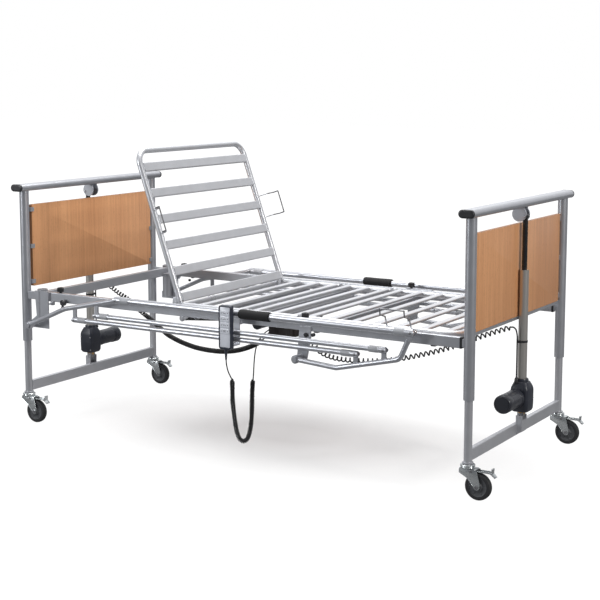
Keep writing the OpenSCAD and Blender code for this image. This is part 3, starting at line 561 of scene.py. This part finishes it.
def arc_corners(outline, radius):
    """Outline with each corner rounded."""
    steps = 4
    made = []
    n = len(outline)
    for i in range(n):
        here = Vector(outline[i])
        back, ahead = Vector(outline[i - 1]) - here, Vector(outline[(i + 1) % n]) - here
        reach = min(radius, 0.45 * back.length, 0.45 * ahead.length)
        start, stop = here + back.normalized() * reach, here + ahead.normalized() * reach
        for k in range(steps + 1):
            t = k / steps
            made.append(tuple((1 - t) ** 2 * start + 2 * t * (1 - t) * here + t * t * stop))
    return made


# Both are measured from the swivel's axis at the floor
axle = (0.043, 0, 0.050)
pedal_pin = (0.020, 0, 0.1055)
for end, sx in (("head", -1), ("foot", 1)):
    for side, sy in (("near", -1), ("far", 1)):
        corner = f"{end}_{side}"
        place = Matrix.Translation((sx * post_x, sy * rail_y, 0))
        work = Work(zinc, dull_steel)
        work.move = place
        # Ball race: upper cup, groove and lower cup, with the bolt head above
        work.turned([(0.0062, 0.1145), (0.0240, 0.1145), (0.0262, 0.1155), (0.0270, 0.1172),
                     (0.0262, 0.1188), (0.0244, 0.1196), (0.0244, 0.1206), (0.0268, 0.1214),
                     (0.0276, 0.1232), (0.0270, 0.1252), (0.0250, 0.1268), (0.0180, 0.1272),
                     (0.0062, 0.1272)], (0, 0, 0), (0, 0, 1), zinc, 48, ring=True)
        crown = arc_corners([(-0.027, -0.018), (0.010, -0.018), (0.034, -0.018), (0.041, -0.013),
                             (0.041, 0.013), (0.034, 0.018), (0.010, 0.018), (-0.027, 0.018)],
                            0.006)
        work.plate(crown, "z", 0.1112, 0.1145, zinc, 0.0007)
        side_view = arc_corners([(-0.0270, 0.1140), (0.0400, 0.1140), (0.0470, 0.0900),
                                 (0.0560, 0.0560), (0.0510, 0.0400), (0.0360, 0.0390),
                                 (0.0280, 0.0520), (0.0050, 0.0800), (-0.0270, 0.0960)], 0.009)
        for s in (-1, 1):
            near, far = sorted((s * 0.0148, s * 0.0180))
            work.plate(side_view, "y", near, far, zinc, 0.0008)
            # Pressed stiffening lip along the front and back of the cheek
            lip = [(-0.0262, 0.0980), (-0.0120, 0.0905), (0.0060, 0.0805), (0.0200, 0.0640),
                   (0.0280, 0.0540)]
            work.tube([(x, s * 0.0176, z) for x, z in lip], 0.0017, zinc, 8)
            front = [(0.0405, 0.1110), (0.0450, 0.0950), (0.0530, 0.0660)]
            work.tube([(x, s * 0.0176, z) for x, z in front], 0.0017, zinc, 8)
        # Axle with a nut and a domed head
        work.turned([(0, -0.0215), (0.0035, -0.0215), (0.0040, -0.0210), (0.0040, 0.0210),
                     (0.0035, 0.0215), (0, 0.0215)], axle, (0, 1, 0), dull_steel, 20)
        for s in (-1, 1):
            work.turned([(0.0040, 0.0181), (0.0098, 0.0181), (0.0098, 0.0192), (0.0040, 0.0192)],
                        axle, (0, s, 0), zinc, 28, ring=True)
            work.turned([(0.0035, 0.0192), (0.0074, 0.0192), (0.0078, 0.0196), (0.0078, 0.0222),
                         (0.0068, 0.0230), (0.0035, 0.0230)],
                        axle, (0, s, 0), dull_steel, 6, ring=True)
            work.turned([(0, 0.0192), (0.0050, 0.0192), (0.0050, 0.0204), (0.0040, 0.0212),
                         (0, 0.0214)],
                        pedal_pin, (0, s, 0), dull_steel, 20)
        work.turned([(0.0024, -0.016), (0.0025, -0.016), (0.0025, 0.016), (0.0024, 0.016)],
                    pedal_pin, (0, 1, 0), dull_steel, 16, ring=True)
        work.piece(corner + "_fork_pressing", corner + "_castor", [corner + "_fork"])

        work = Work(tyre_rubber, hub_plastic, zinc)
        work.move = place
        tread = [(0.0362, -0.0120), (0.0400, -0.0124), (0.0440, -0.0122), (0.0475, -0.0108),
                 (0.0493, -0.0078), (0.0499, -0.0040), (0.0500, 0.0)]
        tread = tread + [(r, -t) for r, t in reversed(tread[:-1])]
        work.turned(tread, axle, (0, 1, 0), tyre_rubber, 72, ring=True)
        face = [(0.0361, 0.0112), (0.0352, 0.0118), (0.0338, 0.0112), (0.0325, 0.0088),
                (0.0290, 0.0078), (0.0200, 0.0076), (0.0180, 0.0088), (0.0166, 0.0122),
                (0.0150, 0.0134), (0.0110, 0.0136), (0.0098, 0.0128), (0.0092, 0.0138),
                (0.0058, 0.0139), (0.0042, 0.0136)]
        work.turned(face + [(r, -t) for r, t in reversed(face)], axle, (0, 1, 0), hub_plastic, 56,
                    ring=True)
        for s in (-1, 1):
            for k in range(6):
                a = math.radians(60 * k)
                spoke = [(axle[0] + r * math.cos(a), s * out, axle[2] + r * math.sin(a))
                         for r, out in ((0.0185, 0.0084), (0.0330, 0.0080))]
                work.tube(spoke, [0.0022, 0.0017], hub_plastic, 8)
        work.piece(corner + "_tyred_wheel", corner + "_wheel", [corner + "_wheel"])

        work = Work(zinc, black_plastic)
        work.move = place
        work.turned([(0.0026, -0.0110), (0.0042, -0.0110), (0.0046, -0.0104), (0.0046, 0.0104),
                     (0.0042, 0.0110), (0.0026, 0.0110)], pedal_pin, (0, 1, 0), zinc, 24, ring=True)
        arm = [(0.0210, 0.1040), (0.0600, 0.1040), (0.0880, 0.1038), (0.0950, 0.1010),
               (0.1030, 0.0945), (0.1085, 0.0900), (0.1105, 0.0912), (0.1060, 0.0975),
               (0.0985, 0.1045), (0.0980, 0.1080), (0.0992, 0.1150), (0.0992, 0.1205),
               (0.0968, 0.1212), (0.0958, 0.1150), (0.0945, 0.1078), (0.0900, 0.1066),
               (0.0600, 0.1066), (0.0210, 0.1066)]
        work.plate(arm, "y", -0.0108, 0.0108, zinc, 0.0006)
        for s in (-1, 1):
            near, far = sorted((s * 0.0092, s * 0.0108))
            work.plate([(0.0220, 0.1064), (0.0900, 0.1064), (0.0860, 0.1100), (0.0260, 0.1100)],
                       "y", near, far, zinc, 0.0004)
        work.skin([pillow((0.0976, 0), (0.0058, 0.0200), 0.0025, z)
                   for z in (0.1180, 0.1192, 0.1218, 0.1226)], zinc)
        work.piece(corner + "_brake_pedal", corner + "_brake", [corner + "_brake"])

# ---------- Clamp knobs ----------
# Three-lobed black knobs that draw the two platform halves and the pole
# sleeves tight, with the bolts that hold the guards' brackets.
coat(black_plastic, "clamp_knobs")
for side in (-1, 1):
    word = "near" if side < 0 else "far"
    work = Work(black_plastic, dull_steel)
    for x, z in ((0.368, 0.6022), (-0.852, 0.5982)):
        rings = []
        for share, up in ((0.72, -0.0100), (0.90, -0.0092), (1.0, -0.0070), (1.0, 0.0050),
                          (0.93, 0.0078), (0.78, 0.0090), (0.30, 0.0094)):
            ring = []
            for k in range(48):
                a = 2 * math.pi * k / 48
                reach = share * (0.0128 + 0.0032 * math.cos(3 * a))
                ring.append((x + reach * math.cos(a), side * rail_y + reach * math.sin(a), z + up))
            rings.append(ring)
        work.skin(rings, black_plastic)
        work.turned([(0, -0.0150), (0.0055, -0.0150), (0.0060, -0.0145), (0.0060, -0.0095),
                     (0, -0.0095)],
                    (x, side * rail_y, z), (0, 0, 1), black_plastic, 24)
    # Round clamp wheel and its screw, the spring stud and the guard bracket's bolts
    work.turned([(0, 0.0100), (0.0050, 0.0100), (0.0050, 0.0155), (0.0110, 0.0158),
                 (0.0128, 0.0172), (0.0130, 0.0200), (0.0130, 0.0300), (0.0120, 0.0322),
                 (0.0085, 0.0330), (0.0080, 0.0322), (0, 0.0320)],
                (-0.818, side * rail_y, 0.547), (0, side, 0), black_plastic, 32)
    work.turned([(0, 0.0100), (0.0060, 0.0100), (0.0060, 0.0172), (0.0048, 0.0188), (0, 0.0192)],
                (-0.831, side * rail_y, 0.525), (0, side, 0), black_plastic, 24)
    work.turned([(0, 0.0173), (0.0085, 0.0173), (0.0090, 0.0178), (0.0090, 0.0232),
                 (0.0080, 0.0240), (0, 0.0240)],
                (0.382, side * rail_y, 0.530), (0, side, 0), black_plastic, 6)
    work.turned([(0, 0.0102), (0.0070, 0.0102), (0.0070, 0.0215), (0.0058, 0.0236), (0, 0.0242)],
                (0.412, side * rail_y, 0.532), (0, side, 0), black_plastic, 24)
    work.piece(word + "_clamp_knobs", "bed_frame", ["clamp_knobs"])

# ---------- Section drives ----------
# Two linear actuators under the platform, black mouldings with black rods, and
# the dark brown control box that every cord runs to.
box_moulding = satin("control_box_moulding", (0.030, 0.021, 0.019), 0.45, relief=0.00012,
                     edge=0.0015)
coat(moulding, "backrest_actuator", "leg_actuator")
coat(rod_black, "backrest_rod", "leg_rod")
coat(box_moulding, "control_box")
for name, pivot, tip, y, out, length in (
        ("backrest_actuator", (0.060, 0.505), (-0.440, 0.465), -0.120, -1, 0.280),
        ("leg_actuator", (-0.150, 0.505), (0.090, 0.485), 0.120, 1, 0.200)):
    work = Work(moulding, can_paint, dull_steel)
    lean = math.atan2(tip[1] - pivot[1], tip[0] - pivot[0])
    work.move = Matrix.Translation((pivot[0], y, pivot[1])) @ Matrix.Rotation(-lean, 4, "Y")
    # Tube collar, end cap and wiper
    work.turned([(0.0159, 0.0615), (0.0190, 0.0615), (0.0190, 0.0690), (0.0176, 0.0730),
                 (0.0159, 0.0735)],
                (0, 0, 0), (1, 0, 0), moulding, ring=True)
    work.turned([(0.0159, length - 0.014), (0.0168, length - 0.013), (0.0168, length - 0.001),
                 (0.0158, length + 0.001), (0.0122, length + 0.001), (0.0116, length + 0.0024),
                 (0.0104, length + 0.0024), (0.0104, length - 0.001)],
                (0, 0, 0), (1, 0, 0), can_paint, ring=True)
    # Motor can: two bands, grooves and a domed end
    can_place = (0.040, 0, 0)
    for near, far, radius in ((0.0245, 0.0300, 0.0222), (0.0330, 0.0342, 0.0216),
                              (0.1080, 0.1092, 0.0216), (0.1150, 0.1290, 0.0219)):
        work.turned([(0.0208, near), (radius - 0.0004, near), (radius, near + 0.0005),
                     (radius, far - 0.0005), (radius - 0.0004, far), (0.0208, far)],
                    can_place, (0, out, 0), can_paint, ring=True)
    work.turned([(0, 0.1330), (0.0060, 0.1330), (0.0066, 0.1318), (0.0165, 0.1318),
                 (0.0196, 0.1310), (0.0208, 0.1296), (0, 0.1296)],
                can_place, (0, out, 0), can_paint)
    # Parting rib and screws of the gear housing
    work.block((0.013, -0.0008, -0.0206), (0.061, 0.0008, -0.0198), moulding, 0.0002, 1)
    work.block((0.013, -0.0008, 0.0138), (0.016, 0.0008, 0.0206), moulding, 0.0002, 1)
    for x in (0.018, 0.056):
        for z in (-0.014, 0.014):
            work.turned([(0, 0.0228), (0.0018, 0.0228), (0.0030, 0.0220), (0.0030, 0.0205),
                         (0, 0.0205)],
                        (x, 0, z), (0, -out, 0), dull_steel, 14)
    work.piece(name + "_trim", name)
work = Work(box_moulding, black_plastic, dull_steel)
# Lid line, feet, corner screws and collars round the plugs of the control box
work.skin([pillow((0.210, -0.300), (wx, wy), 0.0085, z) for z, wx, wy in (
    (0.5206, 0.1200, 0.1300), (0.5210, 0.1216, 0.1316), (0.5226, 0.1216, 0.1316),
    (0.5230, 0.1200, 0.1300))], box_moulding, capped=False)
for x in (0.160, 0.260):
    for y in (-0.355, -0.245):
        work.turned([(0.0024, 0.4922), (0.0024, 0.4905), (0.0046, 0.4900), (0.0054, 0.4906),
                     (0.0056, 0.4922)],
                    (x, y, 0), (0, 0, 1), box_moulding, 20, ring=True)
        work.turned([(0, 0.4912), (0.0022, 0.4912), (0.0022, 0.4930), (0, 0.4930)],
                    (x, y, 0), (0, 0, 1), dull_steel, 6)
for k in range(7):
    work.block((0.182 + 0.008 * k, -0.330, 0.4908), (0.185 + 0.008 * k, -0.270, 0.4924),
               box_moulding, 0.0006, 1)
for x, y, along in ((0.1515, -0.300, -1), (0.1515, -0.316, -1), (0.2685, -0.300, 1)):
    work.turned([(0.0032, 0.0002), (0.0066, 0.0002), (0.0066, 0.0034), (0.0052, 0.0044),
                 (0.0046, 0.0100), (0.0032, 0.0106)],
                (x, y, 0.510), (along, 0, 0), black_plastic, 18, ring=True)
work.piece("control_box_trim", "bed_frame")

# ---------- Guard bar sleeves ----------
# Every guard bar ends in a grey moulded sleeve, slotted for the arm, and a
# dark countersunk screw through both makes the joint.
joint_span = 1.345
sleeve_grey = satin("sleeve_moulding", (0.40, 0.41, 0.43), 0.40, relief=0.00005, edge=0.001)
for side, y in (("near", -0.495), ("far", 0.495)):
    for bar, x, z, radius, reach in (("top", -0.500, 0.590, 0.0150, 0.066),
                                     ("mid", -0.610, 0.515, 0.0120, 0.060),
                                     ("low", -0.727, 0.488, 0.0120, 0.060)):
        work = Work(sleeve_grey, dull_steel)
        for joint, way in ((x, 1), (x + joint_span, -1)):
            rim = 0.0130 if bar == "top" else radius - 0.0020
            work.turned([(radius - 0.0001, 0.0225), (radius + 0.0003, 0.0228),
                         (radius + 0.0004, 0.0240), (radius + 0.0004, reach - 0.0026),
                         (radius + 0.0001, reach - 0.0010), (rim + 0.0010, reach + 0.0002),
                         (rim, reach + 0.0002)],
                        (joint, y, z), (way, 0, 0), sleeve_grey, 36, ring=True)
            for s in (-1, 1):
                work.turned([(0, radius + 0.0006), (0.0010, radius + 0.0006),
                             (0.0014, radius + 0.0012), (0.0040, radius + 0.0010),
                             (0.0052, radius + 0.0002), (0.0054, radius - 0.0010),
                             (0, radius - 0.0010)], (joint, y, z), (0, s, 0), dull_steel, 20)
        work.piece(f"{side}_{bar}_sleeves", f"{side}_{bar}_bar")

# ---------- Guard grips ----------
# Closed-cell foam sleeves pushed over each guard's top bar where a hand falls;
# they grip by their own stretch, and their cut ends are rolled in a little.
foam = satin("foam_sleeve", (0.013, 0.013, 0.014), 0.85, relief=0.0004, size=0.0022)
for side in ("near", "far"):
    low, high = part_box(side + "_grip")
    centre = (low + high) / 2 - middle
    half = (high.x - low.x) / 2
    work = Work(foam)
    end_curve = [(0.0131, half - 0.0010), (0.0145, half), (0.0165, half - 0.0006),
                 (0.0182, half - 0.0028), (0.0190, half - 0.0065)]
    waist = [(0.0190, half * 0.6), (0.0186, half * 0.25), (0.0186, -half * 0.25),
             (0.0190, -half * 0.6)]
    outline = end_curve + waist + [(r, -x) for r, x in reversed(end_curve)]
    work.turned(outline, centre, (1, 0, 0), foam, 40, ring=True)
    work.piece(side + "_foam_grip", side + "_top_bar", [side + "_grip"])

# ---------- Hand control ----------
# Moulded handset that hangs on a strip bracket: dark blue-black case with a
# sunk keypad film, a ribbed strain relief and a keyhole channel in its back.
case_moulding = satin("handset_moulding", (0.030, 0.035, 0.052), 0.38, relief=0.0001, edge=0.0012)
key_film = satin("keypad_film", (0.78, 0.80, 0.86), 0.34, tone=0.04, relief=0.00003, coat=0.2)
coat(case_moulding, "handset_case")
coat(key_film, "head_key", "back_key", "leg_key", "height_key")
upright = Matrix.Rotation(math.pi / 2, 4, "X")
case_x, pad_z = 0.062, 0.539
work = Work(case_moulding, key_film, dull_steel)
work.move = upright
work.skin([pillow((case_x, 0.538), (wx, wz), corner, depth) for depth, wx, wz, corner in (
    (0.5203, 0.0580, 0.1720, 0.010), (0.5325, 0.0580, 0.1720, 0.010),
    (0.5345, 0.0575, 0.1715, 0.0098), (0.5356, 0.0560, 0.1700, 0.009),
    (0.5360, 0.0540, 0.1680, 0.008))]
    + [pillow((case_x, pad_z), (wx, wz), corner, depth) for depth, wx, wz, corner in (
        (0.5360, 0.0500, 0.1590, 0.005), (0.5357, 0.0492, 0.1582, 0.0046),
        (0.5330, 0.0490, 0.1580, 0.0045))],
    case_moulding)
work.skin([pillow((case_x, pad_z), (wx, wz), 0.0042, depth) for depth, wx, wz in (
    (0.5329, 0.0484, 0.1574), (0.5334, 0.0484, 0.1574), (0.5335, 0.0480, 0.1570))], key_film)
work.move = Matrix.Identity(4)
back = [(0.033, 0.452), (0.0564, 0.452), (0.0564, 0.541), (0.0676, 0.541), (0.0676, 0.452),
        (0.091, 0.452), (0.091, 0.624), (0.033, 0.624)]
work.plate(arc_corners(back, 0.008), "y", -0.5204, -0.5160, case_moulding, 0.0008)
for x, z in ((0.039, 0.460), (0.085, 0.460), (0.039, 0.616), (0.085, 0.616)):
    work.turned([(0, -0.0004), (0.0021, -0.0004), (0.0026, 0.0002), (0.0026, 0.0018), (0, 0.0018)],
                (x, -0.5158, z), (0, -1, 0), dull_steel, 16)
grommet = [(0.0026, 0.4115), (0.0034, 0.4115), (0.0038, 0.4125)]
for k in range(7):
    z = 0.4150 + 0.0038 * k
    r = 0.0038 + 0.00026 * k
    grommet += [(r, z), (r + 0.0004, z + 0.0004), (r + 0.0004, z + 0.0018),
                (r - 0.0003, z + 0.0022), (r - 0.0003, z + 0.0034)]
work.turned(grommet + [(0.0056, 0.4430), (0.0062, 0.4440), (0.0062, 0.4530), (0.0026, 0.4530)],
            (0.064, -0.530, 0), (0, 0, 1), case_moulding, 24, ring=True)
work.piece("handset_body", "handset", ["handset_case"])

# ---------- Keys ----------
# Four rocker keys with a soft raised pad; each carries a printed sign of the
# bed in the position it sets, between an up arrow and a down arrow.
top_key_z, key_gap = 0.595, 0.0235
key_print = satin("key_print", (0.030, 0.034, 0.050), 0.45, relief=0.00002)
signs = {
    "head_key": [[(-7, 3.0), (-2, -1.5), (7, -1.5)]],
    "back_key": [[(-7, -1.5), (-1, -1.5), (2.5, 2.0), (7, -1.5)]],
    "leg_key": [[(-7, 3.0), (-2.5, -1.5), (2, 1.6), (7, -1.5)]],
    "height_key": [[(-7, 2.4), (7, 2.4)], [(-7, -2.6), (7, -2.6)], [(-3, -2.6), (3, 2.4)]],
}
for row, (name, lines) in enumerate(signs.items()):
    z = top_key_z - key_gap * row
    work = Work(key_film, key_print)
    work.move = upright
    work.skin([pillow((case_x, z), (wx, wz), corner, depth) for depth, wx, wz, corner in (
        (0.5348, 0.0436, 0.0196, 0.0035), (0.5358, 0.0440, 0.0200, 0.0036),
        (0.5366, 0.0434, 0.0194, 0.0035), (0.5370, 0.0418, 0.0178, 0.0032),
        (0.5371, 0.0390, 0.0150, 0.0028))], key_film)
    work.turned([(0, -0.0098), (0.0010, -0.0098), (0.0010, 0.0098), (0, 0.0098)],
                (case_x, z, 0.5347), (0, 1, 0), key_film, 14)
    for line in lines:
        work.tube([(case_x + a / 1000, z + b / 1000, 0.5370) for a, b in line],
                  0.0008, key_print, 6)
        for a, b in line:
            work.turned([(0, 0.0005), (0.0009, 0.0003), (0.0010, -0.0002), (0, -0.0003)],
                        (case_x + a / 1000, z + b / 1000, 0.5371), (0, 0, 1), key_print, 10)
    for side, tall in ((-1, 1), (1, -1)):
        x = case_x + side * 0.0148
        work.plate([(x - 0.0027, z - tall * 0.0022), (x + 0.0027, z - tall * 0.0022),
                    (x, z + tall * 0.0028)],
                   "z", 0.5366, 0.5373, key_print, 0.0001, 1)
    work.piece(name + "_pad", name, [name])

# ---------- Cords ----------
# Three black curly cords in PVC, wound hot on a mandrel and left straight at each
# end: one from each lift motor's lead and one from the hand control, all to the
# control box.  A coil takes up the bed's rise: its low end stays with the floor.
cord_wire, cord_coil, cord_pitch = 0.0025, 0.010, 0.0054
cable_wire, cable_coil, foot_pitch = 0.003, 0.011, 0.019


def head_pitch(place):
    """Pulled open beside the lift column, close wound from there on."""
    return 0.0085 if place.x > -0.75 else 0.017


def smooth_path(points, step):
    """Even points along a curve that passes through every given point; each carries a radius."""
    made = []
    for i in range(len(points) - 1):
        a, b, c, d = (Vector(points[k]) for k in (max(i - 1, 0), i, i + 1,
                                                  min(i + 2, len(points) - 1)))
        count = max(2, round((c - b).length / step))
        for k in range(count):
            t = k / count
            made.append(0.5 * (2 * b + (c - a) * t + (2 * a - 5 * b + 4 * c - d) * t * t
                               + (3 * b - a - 3 * c + d) * t * t * t))
    return made + [Vector(points[-1])]


def curly(route, wire, pitch):
    """Centreline of a curly cord, wound where the route is wider than the wire."""
    least_winding = 0.0006
    point_gap = 0.0026
    line = smooth_path(route, 0.0009)
    path = []
    angle = 0.0
    across = None
    for i, point in enumerate(line):
        here, width = point.xyz, point.w
        ahead = line[min(i + 1, len(line) - 1)].xyz - line[max(i - 1, 0)].xyz
        direction = ahead.normalized()
        across = direction.orthogonal().normalized() if across is None else across
        across = (across - direction * across.dot(direction)).normalized()
        winding = max(0.0, width - wire)
        gap = pitch(here) if callable(pitch) else pitch
        if winding > least_winding:
            angle += 2 * math.pi * (ahead.length / 2) / gap
        path.append(here + winding * (math.cos(angle) * across
                                      + math.sin(angle) * direction.cross(across)))
    even = [path[0]]
    for point in path[1:]:
        if (point - even[-1]).length > point_gap:
            even.append(point)
    return even + [path[-1]]


def hang(name, node, stretches, wire, pitch):
    """Cord along its stretches, made in place of the given cord part and put on no body.

    A stretch is (radius, points), no wider than the wire where the cord is straight.
    """
    route = [Vector((*point, radius)) for radius, points in stretches for point in points]
    path = curly(route, wire, pitch)
    work = Work(sheath)
    work.tube(path, wire, sides=8)
    made = work.piece(name, None, [node])
    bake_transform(made)
    placed = [p + middle for p in path]
    length = sum((b - a).length for a, b in zip(placed, placed[1:]))


hang("handset_cord_lead", "handset_cord", [
    (cord_wire, [(0.064, -0.530, 0.4125), (0.066, -0.530, 0.392), (0.072, -0.529, 0.368),
                 (0.080, -0.527, 0.350), (0.086, -0.525, 0.338)]),
], cord_wire, cord_pitch)

hang("handset_cord_curly", "handset_cord", [
    (cord_wire, [(0.086, -0.525, 0.338)]),
    (cord_coil, [(0.088, -0.524, 0.328), (0.088, -0.523, 0.290), (0.088, -0.522, 0.250),
                 (0.092, -0.521, 0.210), (0.097, -0.520, 0.170), (0.104, -0.518, 0.130),
                 (0.114, -0.514, 0.102), (0.128, -0.506, 0.092), (0.140, -0.496, 0.104),
                 (0.146, -0.488, 0.135), (0.147, -0.480, 0.175), (0.144, -0.472, 0.215),
                 (0.140, -0.464, 0.255), (0.136, -0.456, 0.290), (0.134, -0.450, 0.318)]),
    (cord_wire, [(0.133, -0.446, 0.328), (0.130, -0.438, 0.350), (0.124, -0.426, 0.380),
                 (0.118, -0.412, 0.410), (0.114, -0.396, 0.440), (0.114, -0.376, 0.466),
                 (0.120, -0.352, 0.488), (0.130, -0.330, 0.502), (0.142, -0.318, 0.508),
                 (0.149, -0.316, 0.510)]),
], cord_wire, cord_pitch)

hang("head_lift_cable_curly", "head_lift_cable", [
    (cable_wire, [(-1.0555, 0.026, 0.520), (-1.0550, 0.030, 0.534), (-1.0525, 0.042, 0.546),
                  (-1.042, 0.048, 0.552), (-1.030, 0.052, 0.552)]),
    (cable_coil, [(-1.018, 0.054, 0.548), (-0.985, 0.054, 0.532), (-0.935, 0.050, 0.508),
                  (-0.890, 0.044, 0.492), (-0.848, 0.034, 0.474), (-0.800, 0.020, 0.450),
                  (-0.750, 0.006, 0.430), (-0.700, -0.008, 0.411), (-0.640, -0.030, 0.388),
                  (-0.580, -0.055, 0.368), (-0.510, -0.088, 0.359), (-0.440, -0.120, 0.354),
                  (-0.364, -0.156, 0.353), (-0.290, -0.192, 0.357), (-0.220, -0.225, 0.364),
                  (-0.154, -0.250, 0.372), (-0.079, -0.272, 0.386), (-0.020, -0.286, 0.403),
                  (0.037, -0.298, 0.426), (0.072, -0.302, 0.446)]),
    (cable_wire, [(0.084, -0.303, 0.454), (0.104, -0.302, 0.474), (0.122, -0.300, 0.495),
                  (0.137, -0.300, 0.507), (0.149, -0.300, 0.510)]),
], cable_wire, head_pitch)

hang("foot_lift_cable_curly", "foot_lift_cable", [
    (cable_wire, [(1.0555, -0.026, 0.520), (1.0550, -0.031, 0.536), (1.0535, -0.038, 0.550),
                  (1.046, -0.043, 0.558), (1.040, -0.048, 0.558)]),
    (cable_coil, [(1.032, -0.054, 0.555), (1.010, -0.070, 0.548), (0.980, -0.092, 0.537),
                  (0.932, -0.130, 0.518), (0.898, -0.164, 0.503), (0.864, -0.200, 0.489),
                  (0.820, -0.238, 0.475), (0.775, -0.270, 0.463), (0.725, -0.298, 0.451),
                  (0.660, -0.315, 0.438), (0.590, -0.326, 0.429), (0.504, -0.332, 0.423),
                  (0.440, -0.330, 0.423), (0.390, -0.325, 0.430), (0.350, -0.316, 0.444),
                  (0.326, -0.309, 0.460)]),
    (cable_wire, [(0.318, -0.306, 0.468), (0.302, -0.302, 0.488), (0.286, -0.300, 0.504),
                  (0.271, -0.300, 0.510)]),
], cable_wire, foot_pitch)
